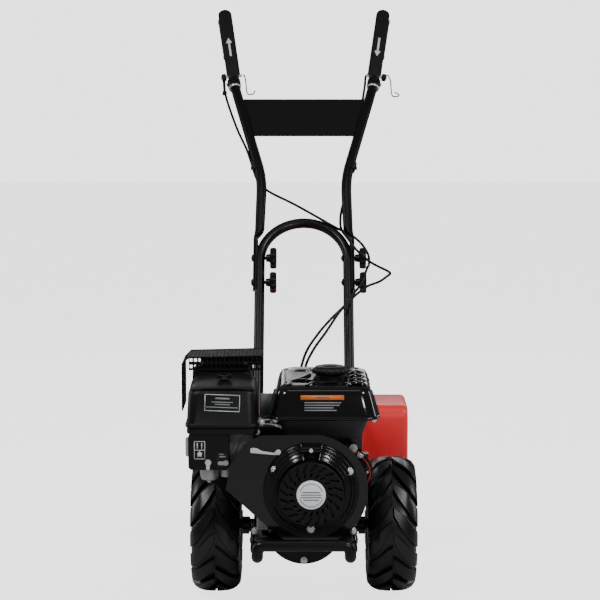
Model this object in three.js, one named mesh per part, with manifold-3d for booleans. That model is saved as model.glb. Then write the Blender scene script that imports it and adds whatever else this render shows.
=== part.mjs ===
// Rear-tine petrol tiller: engine in front, two driven wheels, worm gearbox,
// hooded tine rotors and a folding tubular handlebar.
// Millimetres, +Z up, +X to the right as seen from the front, +Y towards the handlebar.
import * as THREE from 'three';
import { mergeVertices } from 'three/addons/utils/BufferGeometryUtils.js';
import Module from 'manifold-3d';

const wasm = await Module();
wasm.setup();

// ---------- driving dimensions ----------

const ORIGIN = { x: -8, y: 304 };                 // bottom centre of the whole machine
const GAP = 0.3;                                  // clearance between touching pieces

const WHEEL = { radius: 140, width: 102, trackHalf: 181, rimRadius: 50 };
const AXLE = { z: 140, radius: 10, halfLength: 224 };
const SHAFT = { z: 195, radius: 11.5, front: -57, rear: 462 };
const TINES = { y: 430, z: 150, shaftRadius: 12, tipRadius: 138, halfLength: 214 };

const CRANK = { x: 14, z: 265 };
const ENGINE = { base: 159, shroudFront: -262, shroudBack: -195, caseFront: -192, caseBack: -75 };
const BORE_TILT = 65;                             // cylinder axis from vertical, degrees

const HANDLE = { pivotY: 430, pivotZ: 655.5, slope: 55, boltSpacing: 63 };
const LEG = { x: 100, radius: 11, archDrop: 8, bottom: -500 };
const TAB = { inner: 111.3, outer: 115.3 };
const BEND = [97, 212, 0];                        // handlebar points: x, along slope, above it
const GRIP_BASE = [168, 513.6, -57.9];
const TUBE_END = [197.5, 732.3, -96.5];
const LEVER_LIFT = 10;                            // rest angle of a clutch lever, degrees
const LEVER_PIVOT = { along: 4, above: 26 };

const BUMPER = { radius: 11.4, railX: 92, railZ: 140.8, barY: -321, barZ: 169, footZ: 144.6 };
const HOOD = { half: 230, sheet: 2.5, top: 343 };
const SKID = { y: 617, width: 26, depth: 10, top: 368 };
// Tank sections from the bottom up: x0, x1, y0, y1, z, rise of the back edge.
const TANK_LEVELS = [
  [-44, 114, -226, -84, 364],
  [-52, 128, -238, -72, 398],
  [-71, 150, -246, -62, 401],
  [-71, 150, -246, -62, 406],
  [-64, 143, -243, -64, 409],
  [-54, 133, -234, -66, 449],
  [-50, 129, -226, -70, 459, 14],
  [-38, 117, -212, -82, 465, 13],
];

// Outer sleeves of the clutch cables, from the lever bracket down to the gearbox.
const FORWARD_ROUTE = [
  [-191, 756, 1027], [-180, 722, 994], [-157, 664, 938], [-134, 617, 893], [-120, 583, 856],
  [-112, 572, 832], [-100, 564, 814], [-82, 549, 800], [-23, 508, 773], [34, 469, 744],
  [69, 470, 724], [88, 488, 713], [106, 492, 705], [119, 482, 696], [133, 473, 683],
  [146, 455, 663], [148, 434, 652], [147, 411, 642], [142, 383, 637], [128, 350, 605],
  [112, 341, 586], [94, 335, 562], [60, 282, 535], [30, 202, 511], [2, 112, 478],
  [-11, 62, 430], [-14, 32, 370], [-14, 23, 300], [-14, 23, 241.4],
];
const REVERSE_ROUTE = [
  [157, 774, 1069], [150.5, 771, 1066], [147, 761, 1042], [141.5, 747, 1009], [134, 717, 977],
  [122, 684, 946], [118, 656, 912], [114, 630, 884], [107, 598, 853], [101, 571, 826],
  [99, 553, 800], [88, 524, 762], [84, 499, 741], [86, 457, 718],
  [102, 431, 697], [119, 405, 676], [134, 396, 663], [147, 391, 652], [169, 385, 640],
  [186, 382, 632], [194, 379, 626], [186, 375, 619], [169, 363, 609], [141, 344, 600],
  [110, 318, 579], [83, 294, 554], [48, 230, 512], [19, 158, 481], [2, 95, 450],
  [2, 52, 410], [4, 28, 350], [4, 23, 290], [4, 23, 241.4],
];
const LEFT_SPRING = [
  [-148.5, 775, 1068], [-144, 773, 1067], [-141, 770, 1056], [-138, 768, 1026],
  [-134, 767, 1021], [-122, 767, 1022], [-118, 766, 1030],
];
const RIGHT_SPRING = [
  [198, 775, 1068], [204, 773, 1067], [209, 770, 1055], [212, 768, 1022], [215, 767, 1016],
  [228, 767, 1016], [230, 766, 1021], [219, 765, 1026],
];

// ---------- colours ----------

const paint = (color, roughness, metalness) => new THREE.MeshStandardMaterial({ color, roughness, metalness });
const LOOK = {
  blackPaint: paint(0x121315, 0.35, 0.1),
  blackPlastic: paint(0x17181a, 0.55, 0),
  blackTube: paint(0x141517, 0.42, 0.2),
  redPaint: paint(0xb71f22, 0.38, 0.1),
  castIron: paint(0x2a2b2d, 0.6, 0.5),
  alloy: paint(0x8d9093, 0.45, 0.9),
  steel: paint(0x9a9c9e, 0.35, 1),
  zinc: paint(0xb9bcbf, 0.3, 1),
  bronze: paint(0x9a6a35, 0.4, 1),
  rubber: paint(0x1b1b1c, 0.85, 0),
  tineSteel: paint(0x2c2b2b, 0.5, 0.7),
};

// ---------- geometry helpers ----------

const rad = THREE.MathUtils.degToRad;
const vec = (p) => new THREE.Vector3(...p);

// A closed geometry as a solid for joining and cutting.
function solid(geometry) {
  const bare = geometry.clone();
  bare.deleteAttribute('normal');
  bare.deleteAttribute('uv');
  const merged = mergeVertices(bare, 1e-3);
  const index = merged.index.array;
  const position = merged.attributes.position.array;
  const triangles = [];
  for (let i = 0; i < index.length; i += 3) {
    const [a, b, c] = [index[i], index[i + 1], index[i + 2]];
    if (a !== b && b !== c && c !== a) triangles.push(a, b, c);
  }
  const at = (i) => new THREE.Vector3().fromArray(position, 3 * i);
  let volume = 0;
  for (let i = 0; i < triangles.length; i += 3) {
    volume += at(triangles[i]).dot(at(triangles[i + 1]).cross(at(triangles[i + 2])));
  }
  if (volume < 0) triangles.reverse();
  return new wasm.Manifold(new wasm.Mesh({
    numProp: 3,
    vertProperties: new Float32Array(position),
    triVerts: new Uint32Array(triangles),
  }));
}

const isSolid = (shape) => !(shape instanceof THREE.BufferGeometry);
const asSolid = (shape) => (isSolid(shape) ? shape : solid(shape));
const join = (...shapes) => shapes.flat().map(asSolid).reduce((a, b) => a.add(b));
const cut = (shape, ...tools) => tools.flat().map(asSolid).reduce((a, b) => a.subtract(b), asSolid(shape));

function geometryOf(shape) {
  const mesh = asSolid(shape).getMesh();
  const geometry = new THREE.BufferGeometry();
  geometry.setAttribute('position', new THREE.BufferAttribute(new Float32Array(mesh.vertProperties), 3));
  geometry.setIndex(Array.from(mesh.triVerts));
  geometry.computeVertexNormals();
  return geometry;
}

function add(parent, name, shape, material) {
  const mesh = new THREE.Mesh(geometryOf(shape), material);
  mesh.name = name;
  parent.add(mesh);
  return mesh;
}

function group(parent, position = [0, 0, 0], rotationX = 0) {
  const child = new THREE.Group();
  child.position.set(...position);
  child.rotation.x = rotationX;
  parent.add(child);
  return child;
}

function block(x0, x1, y0, y1, z0, z1) {
  const geometry = new THREE.BoxGeometry(x1 - x0, y1 - y0, z1 - z0);
  return geometry.translate((x0 + x1) / 2, (y0 + y1) / 2, (z0 + z1) / 2);
}

const AXES = {
  x: new THREE.Matrix4().makeBasis(vec([0, 1, 0]), vec([0, 0, 1]), vec([1, 0, 0])),
  y: new THREE.Matrix4().makeBasis(vec([0, 0, 1]), vec([1, 0, 0]), vec([0, 1, 0])),
  z: new THREE.Matrix4(),
};

// Round rod along an axis; centre gives the two other coordinates in x, y, z order.
function rod(axis, radius, from, to, centre = [0, 0], sides = 12, endRadius = radius) {
  const geometry = new THREE.CylinderGeometry(endRadius, radius, to - from, sides);
  geometry.rotateX(Math.PI / 2).translate(0, 0, (from + to) / 2);
  geometry.applyMatrix4(AXES[axis]);
  if (axis === 'x') geometry.translate(0, centre[0], centre[1]);
  if (axis === 'y') geometry.translate(centre[0], 0, centre[1]);
  if (axis === 'z') geometry.translate(centre[0], centre[1], 0);
  return geometry;
}

// Plate with the outline seen along an axis: (y, z) along x, (x, z) along y, (x, y) along z.
function plate(axis, shape, from, to, { bevel = 0, curve = 6 } = {}) {
  const geometry = new THREE.ExtrudeGeometry(shape, {
    depth: to - from - 2 * bevel,
    bevelEnabled: bevel > 0,
    bevelSize: bevel,
    bevelThickness: bevel,
    bevelOffset: -bevel,
    bevelSegments: 1,
    curveSegments: curve,
  });
  if (axis === 'y') return geometry.rotateX(Math.PI / 2).translate(0, to - bevel, 0);
  if (axis === 'z') return geometry.translate(0, 0, from + bevel);
  return geometry.applyMatrix4(AXES.x).translate(from + bevel, 0, 0);
}

const polygon = (...points) => new THREE.Shape(points.map(([u, v]) => new THREE.Vector2(u, v)));

function disc(u, v, radius) {
  const shape = new THREE.Shape();
  shape.absarc(u, v, radius, 0, 2 * Math.PI);
  return shape;
}

// Rounded rectangle between two corners.
function panel(u0, u1, v0, v1, radius) {
  const shape = new THREE.Shape();
  shape.absarc(u1 - radius, v1 - radius, radius, 0, Math.PI / 2);
  shape.absarc(u0 + radius, v1 - radius, radius, Math.PI / 2, Math.PI);
  shape.absarc(u0 + radius, v0 + radius, radius, Math.PI, 1.5 * Math.PI);
  shape.absarc(u1 - radius, v0 + radius, radius, 1.5 * Math.PI, 2 * Math.PI);
  return shape;
}

// Two circles and their outer tangents, like a pear or a chain round two sprockets.
function pear(u1, v1, r1, u2, v2, r2) {
  const heading = Math.atan2(v2 - v1, u2 - u1);
  const spread = Math.acos((r1 - r2) / Math.hypot(u2 - u1, v2 - v1));
  const shape = new THREE.Shape();
  shape.absarc(u1, v1, r1, heading + spread, heading - spread + 2 * Math.PI);
  shape.absarc(u2, v2, r2, heading - spread, heading + spread);
  return shape;
}

// Turned piece about the local y axis from (radius, y) pairs.
function turned(profile, sides, close = false) {
  const points = profile.map(([r, y]) => new THREE.Vector2(r, y));
  if (close) points.push(points[0].clone());
  return new THREE.LatheGeometry(points, sides);
}

const turnedAboutX = (profile, sides, close) => turned(profile, sides, close).rotateZ(-Math.PI / 2);

// Polyline whose corners are rounded off.
function bent(points, radius) {
  const corners = points.map(vec);
  const path = new THREE.CurvePath();
  let start = corners[0];
  for (let i = 1; i < corners.length - 1; i++) {
    const before = corners[i].clone().sub(corners[i - 1]).setLength(radius);
    const after = corners[i + 1].clone().sub(corners[i]).setLength(radius);
    const enter = corners[i].clone().sub(before);
    const leave = corners[i].clone().add(after);
    path.add(new THREE.LineCurve3(start, enter));
    path.add(new THREE.QuadraticBezierCurve3(enter, corners[i], leave));
    start = leave;
  }
  path.add(new THREE.LineCurve3(start, corners.at(-1)));
  return path;
}

function tube(path, radius, steps, sides = 12) {
  return new THREE.ExtrudeGeometry(disc(0, 0, radius), {
    extrudePath: path,
    steps,
    curveSegments: sides / 2,
    bevelEnabled: false,
  });
}

const wire = (points, radius, steps, sides = 8) => (
  tube(new THREE.CatmullRomCurve3(points.map(vec), false, 'centripetal'), radius, steps, sides)
);

// Skin over rings of equal point count, closed by flat ends.
function loft(rings) {
  const count = rings[0].length;
  const points = rings.flat();
  const centre = (ring) => ring.reduce((a, b) => a.add(b), new THREE.Vector3()).divideScalar(count);
  const index = [];
  for (let ring = 0; ring < rings.length - 1; ring++) {
    for (let i = 0; i < count; i++) {
      const a = ring * count + i;
      const b = ring * count + (i + 1) % count;
      index.push(a, b, a + count, b, b + count, a + count);
    }
  }
  const first = points.length;
  const last = first + 1;
  const topRing = (rings.length - 1) * count;
  points.push(centre(rings[0]), centre(rings.at(-1)));
  for (let i = 0; i < count; i++) {
    const next = (i + 1) % count;
    index.push(first, next, i, last, topRing + i, topRing + next);
  }
  const geometry = new THREE.BufferGeometry().setFromPoints(points);
  geometry.setIndex(index);
  return geometry;
}

// Level rounded rectangle; tilt raises the back edge.
function levelRing([x0, x1, y0, y1, z, tilt = 0], radius, inset = 0) {
  const outline = panel(x0 + inset, x1 - inset, y0 + inset, y1 - inset, Math.max(radius - inset, 2));
  const points = outline.getPoints(2);
  points.pop();
  return points.map((p) => vec([p.x, p.y, z + tilt * (p.y - y0) / (y1 - y0)]));
}

// Toothed wheel outline.
function gearShape(tip, root, teeth, bore) {
  const points = [];
  for (let i = 0; i < teeth; i++) {
    for (const [part, radius] of [[0.05, root], [0.3, tip], [0.55, tip], [0.8, root]]) {
      const angle = (i + part) * 2 * Math.PI / teeth;
      points.push([radius * Math.cos(angle), radius * Math.sin(angle)]);
    }
  }
  const shape = polygon(...points);
  if (bore) shape.holes.push(disc(0, 0, bore));
  return shape;
}

const SIDES = [['left', -1], ['right', 1]];
const mirror = (point, sign) => [sign * point[0], point[1], point[2]];

// ---------- machine ----------

const machine = new THREE.Group();
machine.name = 'tiller';
machine.position.set(-ORIGIN.x, -ORIGIN.y, 0);

buildWheels();
buildGearbox();
buildTines();
buildHood();
buildFrame();
buildEngine();
buildFuelTank();
buildIntakeAndExhaust();
const slope = group(machine, [0, HANDLE.pivotY, HANDLE.pivotZ], rad(HANDLE.slope));
buildHandleFrame(slope);
buildClampKnobs(slope);
buildHandlebar(slope);
buildCables();

export default machine;

// ---------- wheels on their driven axle ----------

function buildWheels() {
  const axle = group(machine, [0, 0, AXLE.z]);
  add(axle, 'axle_shaft', rod('x', AXLE.radius, -AXLE.halfLength, AXLE.halfLength), LOOK.steel);
  const wheelGear = plate('x', gearShape(36, 31, 14, AXLE.radius + 0.8), -10, 10, { curve: 5 });
  add(axle, 'axle_worm_wheel', wheelGear, LOOK.bronze);
  const hubBore = AXLE.radius + GAP;
  const flange = WHEEL.rimRadius + 8;
  const rimProfile = [
    [hubBore, -38], [16, -38], [16, -3], [45, -3], [45, -42], [flange, -44], [flange, -40.5],
    [WHEEL.rimRadius, -38], [WHEEL.rimRadius, 38], [flange, 40.5], [flange, 44], [45, 42],
    [45, 3], [16, 3], [16, 38], [hubBore, 38],
  ];
  const half = WHEEL.width / 2;
  const top = WHEEL.radius;
  const bead = WHEEL.rimRadius + GAP;
  const halfProfile = [
    [bead, 30], [flange + 0.5, 39.5], [82, half], [118, half], [top - 3, half - 8], [top, half - 24],
  ];
  const innerHalf = [[top - 13, 26], [112, half - 9], [62, 31]];
  const mirrored = (points) => points.map(([r, x]) => [r, -x]).reverse();
  const tyreProfile = [
    ...halfProfile, ...mirrored(halfProfile), ...mirrored(innerHalf), ...innerHalf,
  ];
  for (const [side, sign] of SIDES) {
    const wheel = group(axle, [sign * WHEEL.trackHalf, 0, 0]);
    add(wheel, `rim_${side}`, turnedAboutX(rimProfile, 20, true), LOOK.blackPaint);
    add(wheel, `tyre_${side}`, turnedAboutX(tyreProfile, 28, true), LOOK.rubber);
  }
}

// ---------- gearbox and drive shaft ----------

function buildGearbox() {
  const frontOutline = pear(0, 150, 81, CRANK.x, CRANK.z, 62);
  const rearHousing = plate('x', pear(TINES.y, TINES.z, 44, TINES.y, SHAFT.z, 38), -32, 32, { curve: 4 });
  const lugs = SIDES.map(([, sign]) => block(...(sign < 0 ? [-97, -70] : [70, 97]), 20, 56, 168, 184));
  const shell = join(
    plate('y', frontOutline, -60, -18, { curve: 6 }),
    rod('y', 81, -20, 58, [0, 150], 20),
    rod('y', 32, 56, 400, [0, SHAFT.z], 12),
    rearHousing,
    block(-30, 20, 16, 30, 222, 241),
    lugs,
  );
  const cavity = join(
    plate('y', pear(0, SHAFT.z, 47, CRANK.x, CRANK.z, 29), -61, -34, { curve: 5 }),
    rod('y', 20, -35, 44, [0, SHAFT.z]),
    rod('x', 40, -15, 15, [0, AXLE.z], 14),
    rod('x', AXLE.radius + 0.6, -90, 90, [0, AXLE.z]),
    rod('y', SHAFT.radius + 0.6, 40, 464, [0, SHAFT.z]),
    rod('y', 19, 405, 455, [0, SHAFT.z]),
    rod('x', 30, -13, 13, [TINES.y, TINES.z]),
    rod('x', TINES.shaftRadius + 0.6, -40, 40, [TINES.y, TINES.z]),
  );
  add(machine, 'gearbox_case', cut(shell, cavity), LOOK.castIron);

  const coverBolts = [-150, -120, -90, -60, -30, 10, 170].map((degrees) => {
    const angle = rad(degrees);
    return rod('y', 6, -71, -66, [73 * Math.cos(angle), 150 + 73 * Math.sin(angle)], 6);
  });
  const cover = cut(
    plate('y', frontOutline, -66.5, -60.4, { curve: 8 }),
    rod('y', 30, -70, -55, [CRANK.x, CRANK.z], 20),
  );
  add(machine, 'gearbox_front_cover', join(cover, coverBolts), LOOK.blackPaint);
  const ring = cut(
    rod('y', 60, -74.6, -71.4, [CRANK.x, CRANK.z], 20),
    rod('y', 38, -80, -60, [CRANK.x, CRANK.z]),
  );
  const spigot = cut(
    rod('y', 44, -71.5, -66.9, [CRANK.x, CRANK.z], 20),
    rod('y', 38, -80, -60, [CRANK.x, CRANK.z]),
  );
  add(machine, 'clutch_housing', join(ring, spigot), LOOK.alloy);

  const worm = (centre) => [-18, -2, 14].flatMap((y) => (
    [[12.5, centre + y - 6], [17, centre + y - 3], [17, centre + y + 3], [12.5, centre + y + 6]]
  ));
  const shaft = group(machine, [0, 0, SHAFT.z]);
  const shaftProfile = [
    [0, SHAFT.front], [SHAFT.radius, SHAFT.front], [SHAFT.radius, -24.5], ...worm(0),
    [SHAFT.radius, 20.5], [SHAFT.radius, TINES.y - 24.5], ...worm(TINES.y),
    [SHAFT.radius, TINES.y + 20.5], [SHAFT.radius, SHAFT.rear], [0, SHAFT.rear],
  ];
  const driveGear = plate('y', gearShape(44, 39, 16), -52, -38);
  add(shaft, 'drive_shaft', join(turned(shaftProfile, 12), driveGear), LOOK.steel);
}

// ---------- tine shaft and rotors ----------

function buildTines() {
  const tines = group(machine, [0, TINES.y, TINES.z]);
  add(tines, 'tine_shaft', rod('x', TINES.shaftRadius, -TINES.halfLength, TINES.halfLength), LOOK.steel);
  const bore = TINES.shaftRadius + GAP;
  add(tines, 'tine_worm_wheel', plate('x', gearShape(26, 21.5, 12, bore + 0.6), -9, 9, { curve: 5 }), LOOK.bronze);
  for (const [side, sign] of SIDES) {
    add(tines, `tine_rotor_${side}`, tineRotor(sign), LOOK.tineSteel);
  }
}

function tineRotor(sign) {
  const span = (a, b) => (sign > 0 ? [a, b] : [-b, -a]);
  const hub = rod('x', 18, ...span(42, 206), [0, 0], 12);
  const parts = [hub];
  [[92, 0], [166, 45]].forEach(([x, turn]) => {
    parts.push(rod('x', 46, ...span(x - 3, x + 3), [0, 0], 12));
    for (let i = 0; i < 4; i++) {
      const inward = i % 2 ? 1 : -1;
      parts.push(tineBlade(sign, x, inward, rad(turn + 90 * i)));
    }
  });
  return cut(join(parts), rod('x', TINES.shaftRadius + GAP, -300, 300));
}

// Sickle blade: a flat arm that sweeps back, with its tip turned sideways.
function tineBlade(sign, x, toward, angle) {
  const arm = new THREE.Shape();
  arm.moveTo(20, -17);
  arm.quadraticCurveTo(92, -24, 132, 8);
  arm.lineTo(TINES.tipRadius - 10, 36);
  arm.quadraticCurveTo(96, 2, 20, 13);
  const face = x + 6 * toward;
  const limits = (a, b) => [Math.min(a, b), Math.max(a, b)];
  const armSpan = limits(sign * (x + 3 * toward), sign * (x + 9 * toward));
  const tipSpan = limits(sign * face, sign * (x + 42 * toward));
  const tip = polygon([118, 2], [130, 6], [TINES.tipRadius - 8, 37], [117, 24]);
  const blade = join(
    plate('x', arm, armSpan[0], armSpan[1], { curve: 2 }),
    plate('x', tip, tipSpan[0], tipSpan[1]),
  );
  return blade.rotate([THREE.MathUtils.radToDeg(angle), 0, 0]);
}

// ---------- tine hood, rear flap and depth skid ----------

function hoodOutline(inset, drop) {
  const shape = new THREE.Shape();
  shape.moveTo(258 + inset, 178 - drop);
  shape.lineTo(262 + inset, 312);
  shape.quadraticCurveTo(263 + inset, HOOD.top - inset, 294, HOOD.top - inset);
  shape.lineTo(400, HOOD.top - inset);
  shape.quadraticCurveTo(560 - inset, HOOD.top - inset, 600 - inset, 200 - drop);
  return shape;
}

function buildHood() {
  const inner = HOOD.half - HOOD.sheet;
  const shell = cut(
    plate('x', hoodOutline(0, 0), -HOOD.half, HOOD.half, { curve: 8 }),
    plate('x', hoodOutline(HOOD.sheet, 40), -inner, inner, { curve: 8 }),
    block(-36, 36, 240, 300, 140, 231),
  );
  const gusset = plate('x', polygon([580, 240], [606, 240], [606, 288], [553, 288]), -12, 12);
  const sleeve = block(-20, 20, SKID.y - 13, SKID.y + 15, 236, 292);
  const slot = block(-SKID.width / 2 - 0.5, SKID.width / 2 + 0.5, SKID.y - 5.5, SKID.y + 5.5, 220, 300);
  const thread = rod('y', 5.5, SKID.y, SKID.y + 20, [0, 264], 16);
  add(machine, 'tine_hood', cut(join(shell, gusset, sleeve), slot, thread), LOOK.redPaint);

  const flapOutline = new THREE.Shape([
    [-222, 198], [-222, 70], [-40, 62], [-40, 191], [40, 191], [40, 62], [222, 70], [222, 198],
  ].map(([x, z]) => new THREE.Vector2(x, z)));
  const hinge = rod('x', 4, -222, 222, [602.5, 195], 10);
  add(machine, 'rear_flap', join(plate('y', flapOutline, 601, 604), hinge), LOOK.rubber);

  const halfWidth = SKID.width / 2;
  const foot = polygon([584, 20], [596, 0], [668, 0], [676, 6], [674, 9], [666, 5], [600, 5], [588, 22]);
  const skid = join(
    block(-halfWidth, halfWidth, SKID.y - SKID.depth / 2, SKID.y + SKID.depth / 2, 3, SKID.top),
    plate('x', foot, -30, 30),
  );
  add(machine, 'depth_skid', skid, LOOK.blackPaint);
  const screw = join(
    rod('y', 5, SKID.y + 5.4, SKID.y + 46, [0, 264], 12),
    rod('y', 9, SKID.y + 15.4, SKID.y + 24, [0, 264], 6),
    rod('x', 4.5, -28, 28, [SKID.y + 42, 264], 10),
  );
  add(machine, 'skid_clamp_screw', screw, LOOK.zinc);
}

// ---------- engine frame and bumper ----------

function buildFrame() {
  const bed = block(-97.5, 97.5, -236, -78, 153, 158.7);
  const cheek = new THREE.Shape([
    [-184, 130], [70, 130], [70, 190], [-64, 192], [-74, 158.7], [-184, 158.7],
  ].map(([y, z]) => new THREE.Vector2(y, z)));
  const cheeks = SIDES.map(([, sign]) => plate('x', cheek, ...(sign < 0 ? [-102.5, -97.3] : [97.3, 102.5])));
  const heads = [];
  for (const [, sign] of SIDES) {
    for (const [y, z] of [[-160, 142], [-110, 142], [-46, 178], [-46, 150], [38, 176]]) {
      heads.push(rod('x', 7, ...(sign < 0 ? [-107.5, -102] : [102, 107.5]), [y, z], 6));
    }
  }
  const axleHole = rod('x', 17, -120, 120, [0, AXLE.z]);
  add(machine, 'engine_frame', cut(join(bed, cheeks, heads), axleHole), LOOK.blackPaint);

  const { railX, railZ, barY, barZ, footZ } = BUMPER;
  const half = [[railX, -185.5, railZ], [railX, -245, railZ], [90, barY, footZ], [90, barY, barZ]];
  const path = bent([...half.map((p) => mirror(p, -1)), ...half.reverse()], 12.1);
  add(machine, 'front_bumper', tube(path, BUMPER.radius, 72, 8), LOOK.blackTube);

  const beam = block(-LEG.x + LEG.radius + 0.5, LEG.x - LEG.radius - 0.5, 150, 188, 262, 296);
  const saddle = block(-30, 30, 140, 230, 227.4, 263);
  const straps = block(-38, 38, 148, 160, 200, 262);
  const seat = rod('y', 32.8, 100, 300, [0, SHAFT.z], 20);
  add(machine, 'handle_bracket', cut(join(beam, saddle, straps), seat), LOOK.blackPaint);
}

// ---------- engine ----------

function shroudOutline(inset) {
  const radius = 98 - inset;
  const shape = new THREE.Shape();
  shape.absarc(CRANK.x, CRANK.z, radius, rad(80), rad(-135), true);
  shape.lineTo(-139 + 1.6 * inset, 272 + 0.2 * inset);
  shape.lineTo(-131 + inset, 306);
  shape.lineTo(-108 + 0.8 * inset, 347 - 0.6 * inset);
  shape.lineTo(-80, 361 - inset);
  return shape;
}

function buildEngine() {
  const crankAxis = [CRANK.x, CRANK.z];
  const { base, shroudFront, shroudBack, caseFront, caseBack } = ENGINE;

  const caseOutline = polygon(
    [-70, base], [96, base], [96, 200], [106, 214], [106, 318], [84, 345], [-38, 345], [-81, 254],
    [-81, 214], [-70, 200],
  );
  const feet = block(-84, 96, -176, -92, base, base + 9);
  const switchBox = block(104, 128, -186, -160, 284, 322);
  const crankcase = cut(
    join(plate('y', caseOutline, caseFront, caseBack, { bevel: 4 }), feet, switchBox),
    block(-56, 92, -180, -88, 184, 332),
    rod('y', 13.5, -210, -60, crankAxis),
  );
  add(machine, 'engine_crankcase', crankcase, LOOK.blackPaint);

  const bore = group(machine, [CRANK.x, 0, CRANK.z]);
  bore.rotation.y = -rad(BORE_TILT);
  const barrel = [block(-42, 42, -180, -86, 82, 162)];
  for (let u = 86; u < 159; u += 10.2) {
    barrel.push(block(-50, 44, -185, -79, u, u + 3));
  }
  add(bore, 'cylinder_block', join(barrel), LOOK.alloy);
  const headFins = [0, 1, 2].map((i) => block(-48, 28, -185, -80, 166 + 10 * i, 169 + 10 * i));
  add(bore, 'cylinder_head', join(block(-42, 26, -180, -86, 162.4, 196), headFins), LOOK.alloy);
  const rocker = plate('z', panel(-42, 12, -176, -110, 14), 196.4, 228, { bevel: 3, curve: 2 });
  add(bore, 'rocker_cover', rocker, LOOK.blackPaint);
  const plug = turned([[0, 196.4], [10, 196.4], [10, 203], [7, 205], [7, 218], [9, 220], [9, 238], [0, 240]], 10);
  plug.rotateX(Math.PI / 2).translate(-8, -96, 0);
  add(bore, 'spark_plug', plug, LOOK.blackPlastic);

  const shroud = cut(
    plate('y', shroudOutline(0), shroudFront, shroudBack, { bevel: 3, curve: 9 }),
    plate('y', shroudOutline(3.5), shroudFront + 3, shroudBack + 5, { curve: 9 }),
    rod('y', 58, shroudFront - 5, shroudFront + 8, crankAxis, 20),
  );
  add(machine, 'fan_shroud', shroud, LOOK.blackPaint);

  const recoil = group(machine, [CRANK.x, 0, CRANK.z]);
  const cup = turned([
    [0, -307.5], [28, -307.5], [28, -304.5], [57, -304], [62, -299], [62, -268], [92, -266.5],
    [94, -262.4], [59, -262.4], [59, -301], [0, -301],
  ], 24);
  const slots = [];
  for (let i = 0; i < 8; i++) {
    slots.push(block(35, 54, -312, -300, -5, 5).rotateY(i * Math.PI / 4));
  }
  add(recoil, 'recoil_cover', cut(cup, slots), LOOK.blackPlastic);

  const grip = join(
    plate('y', panel(-20, 20, 78, 90, 5), -289, -277, { bevel: 2, curve: 3 }),
    rod('y', 5, -278, -268.5, [0, 84], 12),
  );
  add(recoil, 'starter_grip', grip, LOOK.blackPlastic);

  const fan = [rod('y', 80, -238, -231, [0, 0], 20), rod('y', 20, -256, -226, [0, 0], 12)];
  for (let i = 0; i < 10; i++) {
    fan.push(block(44, 82, -255, -237, -1.5, 1.5).rotateY(i * Math.PI / 5));
  }
  add(recoil, 'flywheel_fan', cut(join(fan), rod('y', 12.6, -270, -210)), LOOK.alloy);

  const journal = turned([
    [0, -262], [9, -262], [12, -250], [12, -36], [0, -36],
  ], 14);
  const crankshaft = join(
    journal,
    plate('y', pear(0, 0, 20, 0, -34, 16), -150, -140, { curve: 4 }),
    plate('y', pear(0, 0, 20, 0, -34, 16), -122, -112, { curve: 4 }),
    rod('y', 13, -142, -120, [0, -26], 10),
    plate('y', gearShape(25, 21, 12), -52, -38),
  );
  add(recoil, 'crankshaft', crankshaft, LOOK.steel);

  const throttle = join(
    plate('y', panel(-108, -44, 338, 345, 3), -268.5, -265, { curve: 2 }),
    rod('y', 6, -271, -262.4, [-50, 341.5], 12),
  );
  add(machine, 'throttle_lever', throttle, LOOK.zinc);
  const knob = join(
    rod('y', 10, -194, -186.3, [116, 303], 16),
    block(114, 118, -200, -193, 294, 312),
  );
  add(machine, 'engine_switch', knob, LOOK.blackPlastic);
}

// ---------- fuel tank ----------

function buildFuelTank() {
  const wall = 3;
  const outer = loft(TANK_LEVELS.map((level) => levelRing(level, 22)));
  const innerLevels = TANK_LEVELS.filter((_, i) => i !== 2 && i !== 3).map((level) => [...level]);
  innerLevels[0][4] += 2;
  innerLevels.at(-1)[4] -= wall;
  const inner = loft(innerLevels.map((level) => levelRing(level, 22, wall)));
  const cap = { x: 52.5, y: -142, radius: 35 };
  const neck = rod('z', 26, 462, 477.5, [cap.x, cap.y]);
  const filler = rod('z', 22, 440, 490, [cap.x, cap.y]);
  add(machine, 'fuel_tank', cut(join(outer, neck), inner, filler), LOOK.blackPaint);

  const lid = turned([
    [0, 478], [30, 478], [cap.radius, 480], [cap.radius, 488], [31, 492], [0, 493.5],
  ], 24).rotateX(Math.PI / 2);
  lid.translate(cap.x, cap.y, 0);
  add(machine, 'fuel_cap', lid, LOOK.blackPlastic);
}

// ---------- air cleaner, carburettor and muffler ----------

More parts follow.
